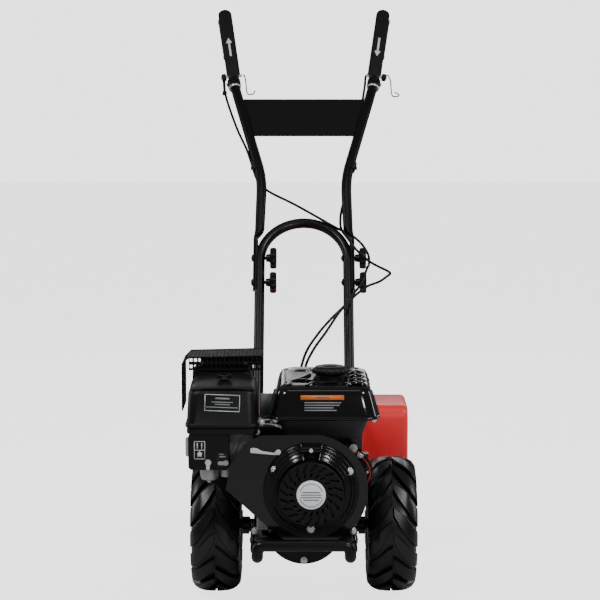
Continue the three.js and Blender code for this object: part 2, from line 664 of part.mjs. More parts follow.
function buildIntakeAndExhaust() {
  const coverLevels = [
    [-228, -87, -258, -122, 387],
    [-228, -87, -258, -122, 393],
    [-225, -90, -255, -125, 395],
    [-222, -92, -250, -127, 456, 6],
    [-212, -102, -238, -136, 464, 6],
  ];
  const coverOuter = loft(coverLevels.map((level) => levelRing(level, 16)));
  const coverInner = loft(coverLevels.map((level, i) => (
    levelRing([...level.slice(0, 4), level[4] - (i === 0 ? 8 : 3), level[5]], 16, 2.5)
  )));
  add(machine, 'air_cleaner_cover', cut(coverOuter, coverInner), LOOK.blackPlastic);

  const tray = plate('z', panel(-224, -91, -254, -126, 12), 374, 386.6, { curve: 3 });
  const console = cut(
    plate('y', panel(-222, -146, 303, 375, 8), -252, -214, { bevel: 2, curve: 3 }),
    block(-219, -149, -247, -200, 306, 372),
  );
  const dish = block(-216, -100, -246, -134, 377, 390);
  add(machine, 'air_cleaner_base', join(cut(tray, dish), console), LOOK.blackPlastic);

  const nut = join(
    rod('z', 7, 470.5, 476, [-157, -190], 12),
    plate('y', panel(-171, -143, 474, 484, 4), -192.5, -187.5, { curve: 2 }),
  );
  add(machine, 'air_cleaner_knob', nut, LOOK.blackPlastic);

  const carburettor = join(
    rod('z', 19, 276, 302.4, [-186, -213]),
    rod('z', 4, 271, 278, [-186, -213], 6),
    rod('z', 14, 283, 302.4, [-152, -213], 12),
    block(-204, -146, -211, -192, 299, 324),
    block(-202, -170, -211, -192, 322, 366),
    block(-172, -146, -208, -192, 328, 356),
    block(-160, -146, -194, -185.6, 330, 352),
  );
  add(machine, 'carburettor', carburettor, LOOK.alloy);

  const choke = join(
    rod('y', 5, -258, -252.3, [-152, 318], 12),
    plate('y', panel(-168, -147, 314.5, 321.5, 3), -259, -255.5, { curve: 2 }),
  );
  add(machine, 'choke_lever', choke, LOOK.zinc);
  const valve = join(
    rod('y', 6.5, -258, -252.3, [-187, 319], 6),
    plate('y', panel(-190.5, -183.5, 305, 322, 3), -261, -257, { curve: 2 }),
  );
  add(machine, 'fuel_valve_lever', valve, LOOK.zinc);

  const muffler = join(
    plate('y', panel(-226, -104, 404, 484, 20), -92, -8, { bevel: 5, curve: 2 }),
    rod('y', 14, -9, 5, [-190, 440], 16),
    rod('z', 18, 382, 406, [-140, -60], 16),
  );
  const chamber = plate('y', panel(-223, -107, 407, 481, 18), -88, -12, { curve: 2 });
  const outlet = rod('y', 11.5, -15, 8, [-190, 440], 16);
  add(machine, 'muffler', cut(muffler, chamber, outlet), LOOK.tineSteel);

  const guardOutline = polygon([-247, 396], [-84, 396], [-84, 508], [-234, 504], [-247, 492]);
  const guardHollow = polygon([-245, 380], [-60, 380], [-60, 506], [-233, 502], [-245, 491]);
  const guardSlots = [];
  for (let i = 0; i < 9; i++) {
    const x = -226 + 16 * i;
    guardSlots.push(block(x, x + 7, -98, -24, 498, 512));
    if (x < -96) guardSlots.push(block(x, x + 7, -112, -100, 478, 494));
  }
  const guard = cut(
    plate('y', guardOutline, -108, 6),
    plate('y', guardHollow, -106, 12),
    guardSlots,
  );
  add(machine, 'muffler_guard', guard, LOOK.blackPaint);
}

// ---------- handle: fixed U frame ----------

function boltHole(sign, along) {
  return rod('x', 4.6, ...(sign < 0 ? [-130, -80] : [80, 130]), [along, 0], 10);
}

function buildHandleFrame(parent) {
  const arch = LEG.x;
  const path = new THREE.CurvePath();
  const archPoint = (angle) => vec([arch * Math.cos(angle), arch * Math.sin(angle) - LEG.archDrop, 0]);
  path.add(new THREE.LineCurve3(vec([arch, LEG.bottom, 0]), vec([arch, -LEG.archDrop, 0])));
  const arc = new THREE.CatmullRomCurve3(
    Array.from({ length: 9 }, (_, i) => archPoint(i * Math.PI / 8)),
  );
  path.add(arc);
  path.add(new THREE.LineCurve3(vec([-arch, -LEG.archDrop, 0]), vec([-arch, LEG.bottom, 0])));
  const holes = SIDES.flatMap(([, sign]) => [boltHole(sign, 0), boltHole(sign, -HANDLE.boltSpacing)]);
  add(parent, 'handle_frame', cut(tube(path, LEG.radius, 36, 10), holes), LOOK.blackTube);
}

// ---------- handle: clamp knobs on their bolts ----------

function lobed(radius, depth, lobes) {
  const points = [];
  for (let i = 0; i < lobes * 2; i++) {
    const angle = i * Math.PI / lobes;
    const r = radius - depth + depth * Math.cos(lobes * angle);
    points.push([r * Math.cos(angle), r * Math.sin(angle)]);
  }
  return points;
}

function buildClampKnobs(parent) {
  const lobes = polygon(...lobed(24.5, 1.8, 7));
  const reach = { knob: [126, 141], neck: [TAB.outer + GAP, 127], head: [82.2, 86] };
  const reachLeft = { knob: [-77, -62], neck: [-86, -76], head: [-119.5, -TAB.outer - GAP] };
  for (const [side, sign] of SIDES) {
    const { knob, neck, head } = sign > 0 ? reach : reachLeft;
    const [boltFrom, boltTo] = sign > 0 ? [83, 126] : [-119, -70];
    for (const [row, along] of [['upper', 0], ['lower', -HANDLE.boltSpacing]]) {
      const seat = group(parent, [0, along, 0]);
      const shape = join(
        rod('x', 4, boltFrom, boltTo),
        rod('x', 9, ...head, [0, 0], 10),
        rod('x', 8, ...neck),
        plate('x', lobes, ...knob),
      );
      add(seat, `clamp_knob_${row}_${side}`, shape, LOOK.blackPlastic);
    }
  }
}

// ---------- handle: folding upper handlebar ----------

// Frame of a grip: local y runs along the grip, z rises above it.
function gripFrame(sign) {
  const base = vec(mirror(GRIP_BASE, sign));
  const along = vec(mirror(TUBE_END, sign)).sub(base).normalize();
  const up = vec([0, 0, 1]).addScaledVector(along, -along.z).normalize();
  const across = along.clone().cross(up);
  return new THREE.Matrix4().makeBasis(across, along, up).setPosition(base);
}

function flatTransition(sign) {
  const rings = [[40, 2, 16, 113.3], [52, 4.2, 14.8, 111], [64, 8.6, 12.4, 104.6], [76, 11, 11, 101]]
    .map(([along, thick, wide, x]) => {
      const ring = [];
      for (let i = 0; i < 8; i++) {
        const angle = i * Math.PI / 4;
        ring.push(vec([sign * (x + thick * Math.cos(angle)), along, wide * Math.sin(angle)]));
      }
      return ring;
    });
  return loft(rings);
}

function handlebarTube(sign) {
  const start = [101, 74, 0];
  const path = bent([start, BEND, GRIP_BASE, TUBE_END].map((p) => mirror(p, sign)), 45);
  const span = sign < 0 ? [-TAB.outer, -TAB.inner] : [TAB.inner, TAB.outer];
  const tab = plate('x', panel(-82, 46, -16, 16, 12), ...span, { curve: 3 });
  const notch = block(-130, 130, -HANDLE.boltSpacing - 4.8, -HANDLE.boltSpacing + 8, -4.8, 20);
  const clamp = join(rod('y', 16, -8, 16, [0, 0], 10), block(-6, 6, -4, 14, 8, 32));
  const pin = rod('x', 3, -19, 19, [LEVER_PIVOT.along, LEVER_PIVOT.above], 8);
  const nutSpan = sign < 0 ? [-29, -17.5] : [17.5, 29];
  const nut = rod('x', 9, ...nutSpan, [LEVER_PIVOT.along, LEVER_PIVOT.above], 8);
  const frame = gripFrame(sign);
  const bracket = geometryOf(join(clamp, pin, nut)).applyMatrix4(frame);
  return join(
    cut(join(tab, flatTransition(sign)), boltHole(sign, 0), notch),
    tube(path, LEG.radius, 15, 8),
    bracket,
  );
}

function buildHandlebar(parent) {
  const handlebar = group(parent);
  for (const [side, sign] of SIDES) {
    add(handlebar, `handlebar_tube_${side}`, handlebarTube(sign), LOOK.blackTube);
    const grip = new THREE.Group();
    gripFrame(sign).decompose(grip.position, grip.quaternion, grip.scale);
    handlebar.add(grip);
    const tubeLength = vec(TUBE_END).distanceTo(vec(GRIP_BASE));
    const sleeve = turned([
      [11.6, 96], [16, 96], [17, 99], [15.5, 104], [15.5, tubeLength - 6], [17, tubeLength],
      [13, tubeLength + 6], [0, tubeLength + 7], [0, tubeLength + 0.4], [11.6, tubeLength + 0.4],
    ], 14, true);
    add(grip, `grip_${side}`, sleeve, LOOK.rubber);
    const lever = group(grip, [0, LEVER_PIVOT.along, LEVER_PIVOT.above], rad(LEVER_LIFT));
    const name = side === 'left' ? 'forward_lever' : 'reverse_lever';
    add(lever, name, clutchLever(), LOOK.blackPlastic);
  }
  const upper = vec(GRIP_BASE).sub(vec(BEND));
  const length = upper.length();
  const tilt = Math.atan2(upper.z, upper.y);
  const sheet = group(handlebar, [0, BEND[1], BEND[2]], tilt);
  const reach = Math.hypot(upper.y, upper.z);
  const halfWidth = (fraction) => BEND[0] + fraction * upper.x - LEG.radius * length / reach - 0.6;
  const [low, high] = [0.45, 0.84];
  const outline = polygon(
    [-halfWidth(low), low * reach], [halfWidth(low), low * reach],
    [halfWidth(high), high * reach], [-halfWidth(high), high * reach],
  );
  add(sheet, 'handle_panel', plate('z', outline, -2, 2), LOOK.blackPaint);
}

function clutchLever() {
  const handle = plate('z', panel(-16.5, 16.5, -9, 199, 16), -5, 5, { bevel: 2.5, curve: 3 });
  return cut(handle, block(-7.2, 7.2, -12, 26, -8, 8), rod('x', 3.5, -20, 20, [0, 0], 8));
}

// ---------- clutch cables and lever springs ----------

function buildCables() {
  add(machine, 'forward_cable', wire(FORWARD_ROUTE, 2.8, 64, 6), LOOK.blackPlastic);
  add(machine, 'reverse_cable', wire(REVERSE_ROUTE, 2.8, 64, 6), LOOK.blackPlastic);
  add(machine, 'lever_spring_left', wire(LEFT_SPRING, 1.6, 12, 6), LOOK.blackPaint);
  add(machine, 'lever_spring_right', wire(RIGHT_SPRING, 1.6, 12, 6), LOOK.zinc);
}
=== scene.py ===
# Looks of a rear-tine petrol tiller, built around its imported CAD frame.
# Lengths in this file are millimetres in the machine's own frame: x to the right seen
# from the front, y from the engine towards the handlebar with the wheel axle at y = 0,
# z up. row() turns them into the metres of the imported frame.
from math import acos, atan2, cos, hypot, pi, radians, sin

import bmesh
import bpy
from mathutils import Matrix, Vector


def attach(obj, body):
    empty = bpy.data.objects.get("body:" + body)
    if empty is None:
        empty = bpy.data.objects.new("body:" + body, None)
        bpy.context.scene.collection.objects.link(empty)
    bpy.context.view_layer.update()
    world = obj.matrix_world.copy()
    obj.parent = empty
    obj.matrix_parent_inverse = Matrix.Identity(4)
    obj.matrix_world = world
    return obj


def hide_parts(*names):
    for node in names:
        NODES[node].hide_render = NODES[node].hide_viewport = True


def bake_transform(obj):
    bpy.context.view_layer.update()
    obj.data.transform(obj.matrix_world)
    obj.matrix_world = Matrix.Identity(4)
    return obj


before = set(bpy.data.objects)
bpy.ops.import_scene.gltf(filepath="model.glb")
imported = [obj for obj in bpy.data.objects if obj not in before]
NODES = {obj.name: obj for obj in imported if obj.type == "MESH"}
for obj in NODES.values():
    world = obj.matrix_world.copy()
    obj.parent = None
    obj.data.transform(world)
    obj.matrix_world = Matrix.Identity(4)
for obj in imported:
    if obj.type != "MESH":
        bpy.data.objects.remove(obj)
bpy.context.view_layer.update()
SHIFT = (8, -304, 0)
SIDES = (("left", -1), ("right", 1))


def row(p):
    return tuple((a + b) / 1000 for a, b in zip(p, SHIFT))


# ---------- camera, floor and light ----------

CAMERA_PLACE, CAMERA_DROP = (0, -4110, 1080), 6.56    # degrees below level
camera_data = bpy.data.cameras.new("camera")
camera_data.lens = 120.45
camera_data.sensor_width = 36
camera_data.shift_x = -0.0065
camera_data.shift_y = 0.0013
camera_data.clip_end = 60
camera = bpy.data.objects.new("camera", camera_data)
camera.location = row(CAMERA_PLACE)
camera.rotation_euler = (radians(90 - CAMERA_DROP), 0, 0)
bpy.context.scene.collection.objects.link(camera)
bpy.context.scene.camera = camera


def area_light(name, place, aim, size, power):
    """Soft light; place, aim and size in metres, power in watts."""
    data = bpy.data.lights.new(name, "AREA")
    data.shape = "RECTANGLE"
    data.size, data.size_y = size
    data.energy = power
    light = bpy.data.objects.new(name, data)
    light.location = place
    aim_vector = Vector(aim) - Vector(place)
    light.rotation_euler = aim_vector.to_track_quat("-Z", "Y").to_euler()
    light.visible_camera = False
    bpy.context.scene.collection.objects.link(light)


area_light("key_left", (-1.5, -1.7, 2.9), (0, -0.2, 0.4), (0.6, 0.6), 34)
area_light("key_right", (1.5, -1.7, 2.9), (0, -0.2, 0.4), (0.6, 0.6), 32)
area_light("fill", (1.2, -3.5, 1.75), (0, -0.1, 0.3), (0.4, 0.4), 24)
area_light("back", (0, 3.2, 1.7), (0, 0, 0.6), (3.0, 1.0), 20)
area_light("overhead", (0, -0.7, 3.3), (0, -0.25, 0.4), (1.0, 0.6), 3)
area_light("left_edge", (-2.4, 0.6, 1.2), (0, -0.2, 0.5), (0.4, 1.6), 14)
area_light("right_edge", (2.6, 0.7, 1.2), (0, -0.2, 0.5), (0.4, 1.6), 14)

# The sky looks bright behind the machine but lights it only a little.
SKY_SEEN, SKY_LIGHT = 2.6, 0.12
world = bpy.data.worlds.new("studio")
bpy.context.scene.world = world
world.use_nodes = True
sky = world.node_tree.nodes
join_sky = world.node_tree.links.new
sky.clear()
ray_kind = sky.new("ShaderNodeLightPath")
either = sky.new("ShaderNodeMixShader")
sky_out = sky.new("ShaderNodeOutputWorld")
join_sky(ray_kind.outputs["Is Camera Ray"], either.inputs[0])
for socket, strength in ((1, SKY_LIGHT), (2, SKY_SEEN)):
    glow = sky.new("ShaderNodeBackground")
    glow.inputs["Color"].default_value = (1, 1, 1, 1)
    glow.inputs["Strength"].default_value = strength
    join_sky(glow.outputs[0], either.inputs[socket])
join_sky(either.outputs[0], sky_out.inputs[0])


# ---------- finishes ----------

def finish(name, color, roughness, metallic=0.0, coat=0.0, grain=0.0, scale=400.0, glow=0.0,
           shine=0.5):
    """Material; grain and scale are the depth and fineness of its surface bumps, and glow gives
    light in its own colour: painted light on the hood and badge, an evenly bright floor on the
    floor.
    """
    material = bpy.data.materials.new(name)
    material.use_nodes = True
    nodes = material.node_tree.nodes
    shader = nodes["Principled BSDF"]
    shader.inputs["Base Color"].default_value = (*color, 1)
    shader.inputs["Roughness"].default_value = roughness
    shader.inputs["Metallic"].default_value = metallic
    shader.inputs["Specular IOR Level"].default_value = shine
    shader.inputs["Coat Weight"].default_value = coat
    shader.inputs["Coat Roughness"].default_value = 0.08
    if glow:
        shader.inputs["Emission Color"].default_value = (*color, 1)
        shader.inputs["Emission Strength"].default_value = glow
    if grain:
        where = nodes.new("ShaderNodeTexCoord")
        noise = nodes.new("ShaderNodeTexNoise")
        noise.inputs["Scale"].default_value = scale
        noise.inputs["Detail"].default_value = 3
        bump = nodes.new("ShaderNodeBump")
        bump.inputs["Strength"].default_value = grain
        bump.inputs["Distance"].default_value = 0.0006
        link = material.node_tree.links.new
        link(where.outputs["Object"], noise.inputs["Vector"])
        link(noise.outputs["Fac"], bump.inputs["Height"])
        link(bump.outputs["Normal"], shader.inputs["Normal"])
    return material


FINISH = {
    "floor": finish("floor", (0.6, 0.6, 0.6), 0.6, glow=1.0),
    "rubber": finish("tyre_rubber", (0.004, 0.0044, 0.0054), 0.32, grain=0.2, scale=260, shine=0.5),
    "grip": finish("grip_rubber", (0.005, 0.005, 0.0058), 0.6, grain=0.3, scale=500, shine=0.3),
    "gloss": finish("gloss_black", (0.005, 0.005, 0.0058), 0.12, coat=0.35, shine=0.3),
    "engine": finish("engine_black", (0.003, 0.003, 0.0035), 0.2, coat=0.3, grain=0.05, scale=120),
    "matte": finish("matte_black", (0.004, 0.004, 0.0048), 0.42, grain=0.15, scale=700, shine=0.28),
    "charcoal": finish("charcoal", (0.024, 0.024, 0.028), 0.5, grain=0.2, scale=700, shine=0.3),
    "rim": finish("rim_black", (0.03, 0.03, 0.032), 0.38, 0.1, grain=0.1, scale=300),
    "frame": finish("frame_black", (0.0035, 0.0035, 0.004), 0.36, grain=0.1, scale=300, shine=0.3),
    "tube": finish("tube_black", (0.0035, 0.0035, 0.0042), 0.3, grain=0.05, scale=250, shine=0.3),
    "casting": finish("gearbox_black", (0.008, 0.008, 0.009), 0.5, grain=0.4, scale=160),
    # The hood's faint glow is painted light that brightens its red beyond what the lamps give.
    "red": finish("hood_red", (0.98, 0.033, 0.04), 0.34, coat=0.15, grain=0.05, scale=90, glow=0.05),
    "alloy": finish("cast_alloy", (0.42, 0.43, 0.44), 0.45, 0.85, grain=0.3, scale=220),
    "steel": finish("steel", (0.5, 0.5, 0.5), 0.3, 1.0, grain=0.1, scale=300),
    "zinc": finish("zinc", (0.84, 0.85, 0.87), 0.26, 0.6, grain=0.08, scale=300),
    "plated": finish("plated_sheet", (0.8, 0.81, 0.83), 0.35, 0.3),
    "bronze": finish("bronze", (0.4, 0.24, 0.1), 0.35, 1.0, grain=0.1),
    "tine": finish("tine_steel", (0.012, 0.0115, 0.011), 0.42, 0.3, grain=0.25, scale=140),
    "guard": finish("guard_black", (0.006, 0.006, 0.007), 0.6, grain=0.1, scale=300, shine=0.12),
    "heat": finish("muffler_steel", (0.015, 0.0145, 0.014), 0.45, 0.5, grain=0.2, scale=200),
    # The badge's faint glow is painted light that brightens its silver beyond what the lamps give.
    "badge": finish("badge_silver", (0.93, 0.96, 1.0), 0.42, 0.1, grain=0.05, glow=0.06),
    "ink": finish("badge_ink", (0.12, 0.12, 0.13), 0.5),
    "white": finish("print_white", (0.72, 0.73, 0.75), 0.5),
    "grey": finish("print_grey", (0.3, 0.31, 0.32), 0.5),
    "orange": finish("print_orange", (0.85, 0.19, 0.02), 0.45),
    "brown": finish("warm_brown", (0.2, 0.1, 0.04), 0.5),
    "spring": finish("spring_wire", (0.1, 0.1, 0.105), 0.35, 0.8),
    "wire_red": finish("wire_red", (0.35, 0.02, 0.02), 0.4),
}


# ---------- mesh parts: (points, faces) in millimetres ----------

def merge(*parts):
    points, faces = [], []
    for part in parts:
        start = len(points)
        points += part[0]
        faces += [tuple(i + start for i in face) for face in part[1]]
    return points, faces


def moved(part, change):
    return [tuple(change(p)) for p in part[0]], part[1]


def loft(rings, cap=True, loop=False):
    """Skin over rings of points; loop joins the last ring to the first."""
    count = len(rings[0])
    total = len(rings)
    faces = []
    for a in range(total if loop else total - 1):
        b = (a + 1) % total
        for i in range(count):
            j = (i + 1) % count
            faces.append((a * count + i, a * count + j, b * count + j, b * count + i))
    if cap and not loop:
        faces.append(tuple(range(count)))
        faces.append(tuple(range((total - 1) * count, total * count)))
    return [tuple(p) for ring in rings for p in ring], faces


def circle_point(axis, centre, radius, along, angle):
    """Point on a circle round axis, at a distance along it."""
    a, b = radius * cos(angle), radius * sin(angle)
    if axis == "x":
        return (along, centre[0] + a, centre[1] + b)
    if axis == "y":
        return (centre[0] + a, along, centre[1] + b)
    return (centre[0] + a, centre[1] + b, along)


def revolve(profile, axis="y", centre=(0, 0), sides=48, loop=False, lobes=None):
    """Turned part from (radius, along) pairs; lobes is (count, depth) of a wavy rim."""
    rings = []
    for radius, along in profile:
        ring = []
        for i in range(sides):
            angle = 2 * pi * i / sides
            r = radius
            if lobes and radius > 1:
                r -= lobes[1] * (0.5 - 0.5 * cos(lobes[0] * angle))
            ring.append(circle_point(axis, centre, max(r, 0.01), along, angle))
        rings.append(ring)
    return loft(rings, loop=loop)


def rod(radius, a, b, axis="y", centre=(0, 0), sides=32, soft=0.8):
    """Round bar from a to b with softened rims."""
    soft = min(soft, radius / 2, abs(b - a) / 2)
    step = soft if b > a else -soft
    return revolve([(radius - soft, a), (radius, a + step), (radius, b - step), (radius - soft, b)],
                   axis, centre, sides)


def extrude(outline, axis, a, b):
    """Outline in the plane across axis, drawn out from a to b."""
    def place(u, v, w):
        return {"x": (w, u, v), "y": (u, w, v), "z": (u, v, w)}[axis]
    return loft([[place(u, v, w) for u, v in outline] for w in (a, b)])


def box(x0, x1, y0, y1, z0, z1):
    return extrude([(x0, y0), (x1, y0), (x1, y1), (x0, y1)], "z", z0, z1)


def round_rect(u0, u1, v0, v1, radius, steps=6):
    """Outline of a rectangle with round corners."""
    points = []
    corners = [(u1 - radius, v1 - radius, 0), (u0 + radius, v1 - radius, 90),
               (u0 + radius, v0 + radius, 180), (u1 - radius, v0 + radius, 270)]
    for u, v, start in corners:
        for i in range(steps + 1):
            angle = radians(start + 90 * i / steps)
            points.append((u + radius * cos(angle), v + radius * sin(angle)))
    return points


def round_corners(points, radius, steps=8):
    """Line whose inner corners are rounded."""
    line = [Vector(p) for p in points]
    out = [line[0]]
    for before, corner, after in zip(line, line[1:], line[2:]):
        enter = corner + (before - corner).normalized() * radius
        leave = corner + (after - corner).normalized() * radius
        for i in range(steps + 1):
            t = i / steps
            out.append(enter.lerp(corner, t).lerp(corner.lerp(leave, t), t))
    out.append(line[-1])
    return out


def between(a, b, s, start, end):
    """Value at s on the straight line from a at start to b at end."""
    return a * ((end - s) / (end - start)) + b * ((s - start) / (end - start))


def flowing(points, steps=8):
    """Smooth line through the points."""
    line = [Vector(p) for p in points]
    line = [2 * line[0] - line[1], *line, 2 * line[-1] - line[-2]]
    out = []
    for p in zip(line, line[1:], line[2:], line[3:]):
        s = [0.0]
        for before, after in zip(p, p[1:]):
            s.append(s[-1] + max((after - before).length, 1e-6) ** 0.5)
        for i in range(steps):
            t = s[1] + (s[2] - s[1]) * i / steps
            a = [between(p[k], p[k + 1], t, s[k], s[k + 1]) for k in range(3)]
            b = [between(a[k], a[k + 1], t, s[k], s[k + 2]) for k in range(2)]
            out.append(between(b[0], b[1], t, s[1], s[2]))
    out.append(line[-2])
    return out


def sweep(points, radius, sides=20, up=(0, 0, 1), cap=True, squeeze=None):
    """Tube along points; squeeze(i) gives the two radii of ring i, across and along up."""
    line = [Vector(p) for p in points]
    normal = Vector(up)
    rings = []
    for i, p in enumerate(line):
        ahead = line[min(i + 1, len(line) - 1)] - line[max(i - 1, 0)]
        tangent = ahead.normalized()
        normal = (normal - tangent * normal.dot(tangent)).normalized()
        side = tangent.cross(normal)
        wide, tall = squeeze(i) if squeeze else (radius, radius)
        rings.append([p + side * wide * cos(2 * pi * k / sides)
                      + normal * tall * sin(2 * pi * k / sides) for k in range(sides)])
    return loft(rings, cap=cap)


def lattice(u0, u1, v0, v1, columns, rows, hole, place):
    """Sheet with a rectangular hole in every cell."""
    parts = []
    for i in range(columns):
        for j in range(rows):
            a0, a1 = u0 + (u1 - u0) * i / columns, u0 + (u1 - u0) * (i + 1) / columns
            b0, b1 = v0 + (v1 - v0) * j / rows, v0 + (v1 - v0) * (j + 1) / rows
            da, db = (a1 - a0) * (1 - hole[0]) / 2, (b1 - b0) * (1 - hole[1]) / 2
            outer = [(a0, b0), (a1, b0), (a1, b1), (a0, b1)]
            inner = [(a0 + da, b0 + db), (a1 - da, b0 + db), (a1 - da, b1 - db), (a0 + da, b1 - db)]
            points = [place(u, v) for u, v in outer + inner]
            parts.append((points, [(k, (k + 1) % 4, (k + 1) % 4 + 4, k + 4) for k in range(4)]))
    return merge(*parts)


def decal(u0, u1, v0, v1, place):
    """Flat rectangle whose corners place(u, v) puts on a surface."""
    return [place(u0, v0), place(u1, v0), place(u1, v1), place(u0, v1)], [(0, 1, 2, 3)]


def facing(place, axis):
    """Sign and letter of a direction such as -y, and a place across and along it."""
    index = "xyz".index(axis[-1])
    across = [c for k, c in enumerate(place) if k != index]
    return -1 if axis[0] == "-" else 1, axis[-1], across, place[index]


def bolt(place, axis, radius=5.5, height=4.5, washer=1.6):
    """Hex head on a washer; axis is a direction such as -y."""
    sign, letter, centre, base = facing(place, axis)
    top = base + sign * (washer + height)
    plate = rod(radius * 1.5, base, base + sign * washer, letter, centre, 24, 0.4)
    head = revolve([(radius, base), (radius, top - sign * 0.8), (radius - 1, top)],
                   letter, centre, 6)
    return merge(plate, head)


def dome(place, axis, radius, height, sides=24):
    """Round cap that bulges along axis, a direction such as -x."""
    sign, letter, centre, base = facing(place, axis)
    profile = [(radius, base)]
    for i in range(1, 7):
        angle = pi / 2 * i / 6
        profile.append((radius * cos(angle), base + sign * height * sin(angle)))
    return revolve(profile, letter, centre, sides)


def soften(obj, name, width, degrees, segments=2):
    """Rounded edges, width in millimetres, where faces meet at more than degrees."""
    edges = obj.modifiers.new(name, "BEVEL")
    edges.width = width / 1000
    edges.segments = segments
    edges.limit_method = "ANGLE"
    edges.angle_limit = radians(degrees)
    return edges


def thicken(obj, depth):
    """Sheet thickness in millimetres, laid inwards."""
    sheet = obj.modifiers.new("thickness", "SOLIDIFY")
    sheet.thickness = depth / 1000
    sheet.offset = -1


def piece(name, body, look, *parts, bevel=0.0, segments=2, angle=32, solid=0.0,
          replaces=(), across=None):
    """Blender object that rides on body; given across, it rides on no body, and the bodies and
    points in across are not used.
    """
    points, faces = merge(*parts)
    mesh = bpy.data.meshes.new(name)
    mesh.from_pydata([row(p) for p in points], [], faces)
    shape = bmesh.new()
    shape.from_mesh(mesh)
    bmesh.ops.remove_doubles(shape, verts=shape.verts, dist=2e-6)
    bmesh.ops.dissolve_degenerate(shape, edges=shape.edges, dist=1e-6)
    bmesh.ops.recalc_face_normals(shape, faces=shape.faces)
    shape.to_mesh(mesh)
    shape.free()
    mesh.polygons.foreach_set("use_smooth", [True] * len(mesh.polygons))
    mesh.set_sharp_from_angle(angle=radians(angle))
    mesh.materials.append(FINISH[look])
    obj = bpy.data.objects.new(name, mesh)
    bpy.context.scene.collection.objects.link(obj)
    if solid:
        thicken(obj, solid)
    if bevel:
        soften(obj, "edges", bevel, angle, segments).harden_normals = True
    if across:
        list(across[:2])
        row(across[2])
        row(across[3])
        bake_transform(obj)
    else:
        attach(obj, body)
    if replaces:
        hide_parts(*replaces)
    return obj


def fixed(name, look, *parts, **options):
    """Piece that rides on the chassis."""
    return piece(name, "chassis", look, *parts, **options)


def dress(look, *names, bevel=0.0):
    """Finish and softened edges for CAD nodes that stay."""
    for name in names:
        node = NODES[name]
        for slot in node.material_slots:
            slot.material = FINISH[look]
        if bevel:
            soften(node, "edges", bevel, 40)


# ---------- floor ----------

FLOOR_SIZE, FLOOR_DROP, FLOOR_GLOW = 30, 0.0005, 3.7    # metres, metres, strength
bpy.ops.mesh.primitive_plane_add(size=FLOOR_SIZE, location=(0, 0, -FLOOR_DROP))
floor = bpy.context.object
floor.name = "floor"
floor.data.materials.append(FINISH["floor"])
floor_tree = FINISH["floor"].node_tree
floor_seen = floor_tree.nodes.new("ShaderNodeLightPath")
floor_glow = floor_tree.nodes.new("ShaderNodeMath")
floor_glow.operation = "MULTIPLY"
floor_glow.inputs[1].default_value = FLOOR_GLOW
floor_tree.links.new(floor_seen.outputs["Is Camera Ray"], floor_glow.inputs[0])
floor_tree.links.new(floor_glow.outputs[0],
                     floor_tree.nodes["Principled BSDF"].inputs["Emission Strength"])


# ---------- wheels ----------

WHEEL_Z, HALF_TRACK, RIM_BOLT_CIRCLE = 140, 181, 29

# A lug from the middle outwards: (radius, x) of its top and of its foot, half its width,
# and how far it trails round the tread.
TREAD_TOP = [(140, 1.5), (139.8, 12), (138.6, 24), (135.5, 35), (130, 43.5), (122, 49.4),
             (110, 50.9)]
TREAD_BASE = [(130, 1.5), (129.8, 12), (128.6, 24), (126, 34), (121, 41.5), (114, 45.5),
              (104, 48)]
LUG_HALF = [9, 16, 19.5, 20, 20, 19, 17]
LUG_DROP = [0, 14, 29, 43, 54, 62, 71]
LUGS, LUG_EDGE = 16, 2.2


def lug(x_sign, start):
    """Slanting lug from the middle of the tread to its shoulder."""
    rings = []
    for top, base, half, drop in zip(TREAD_TOP, TREAD_BASE, LUG_HALF, LUG_DROP):
        centre = start - drop / WHEEL_Z
        spread = half / WHEEL_Z
        edge = spread - LUG_EDGE / WHEEL_Z
        foot, shoulder = (base[0] - 2, base[1] - 1), (top[0] - 1.6, top[1])
        corners = [(*foot, -spread), (*shoulder, -spread), (*top, -edge),
                   (*top, edge), (*shoulder, spread), (*foot, spread)]
        rings.append([(x_sign * x, -r * cos(centre + t), r * sin(centre + t))
                      for r, x, t in corners])
    return loft(rings)


def tyre():
    """Carcass, two rings of lugs and the raised rings on the side walls."""
    half = [(58.4, 39.6), (61, 43.5), (66, 45), (69, 47.2), (72, 45.4), (84, 48.2), (87, 49.6),
            (90, 48.4), (103, 48.5), (114, 45.8), (121, 41.8), (126, 34), (128.6, 24),
            (129.8, 12), (130, 0)]
    inner = [(116, 0), (112, 34), (62, 31), (50.4, 28)]
    outline = [(r, x) for r, x in half] + [(r, -x) for r, x in reversed(half[:-1])]
    outline += [(r, -x) for r, x in reversed(inner)] + [(r, x) for r, x in inner[1:]]
    parts = [revolve(outline, "x", sides=96, loop=True)]
    for i in range(LUGS):
        turn = 2 * pi * i / LUGS
        parts.append(lug(1, turn))
        parts.append(lug(-1, turn + pi / LUGS))
    for side in (-1, 1):
        for ring in (76.0, 98.0):
            parts.append(revolve([(ring - 0.9, side * 46), (ring - 0.5, side * 48.9),
                                  (ring + 0.5, side * 49.0), (ring + 0.9, side * 46)],
                                 "x", sides=96, loop=True))
    return merge(*parts)


def rim():
    """Hub sleeve, dished disc and rim well in one turned section."""
    disc = [(10.4, -38), (16, -38), (17, -37), (17, -6), (20, -3.2), (34, -3), (40, -8),
            (45, -10), (45, -41), (47, -43), (57, -44.6), (58.4, -44), (58.4, -40.6),
            (51, -38.4), (50, -36), (50, 36), (51, 38.4), (58.4, 40.6), (58.4, 44), (57, 44.6),
            (47, 43), (45, 41), (45, -4), (40, 0), (34, 3), (20, 3.2), (17, 6), (17, 37),
            (16, 38), (10.4, 38)]
    return revolve(disc, "x", sides=64, loop=True)


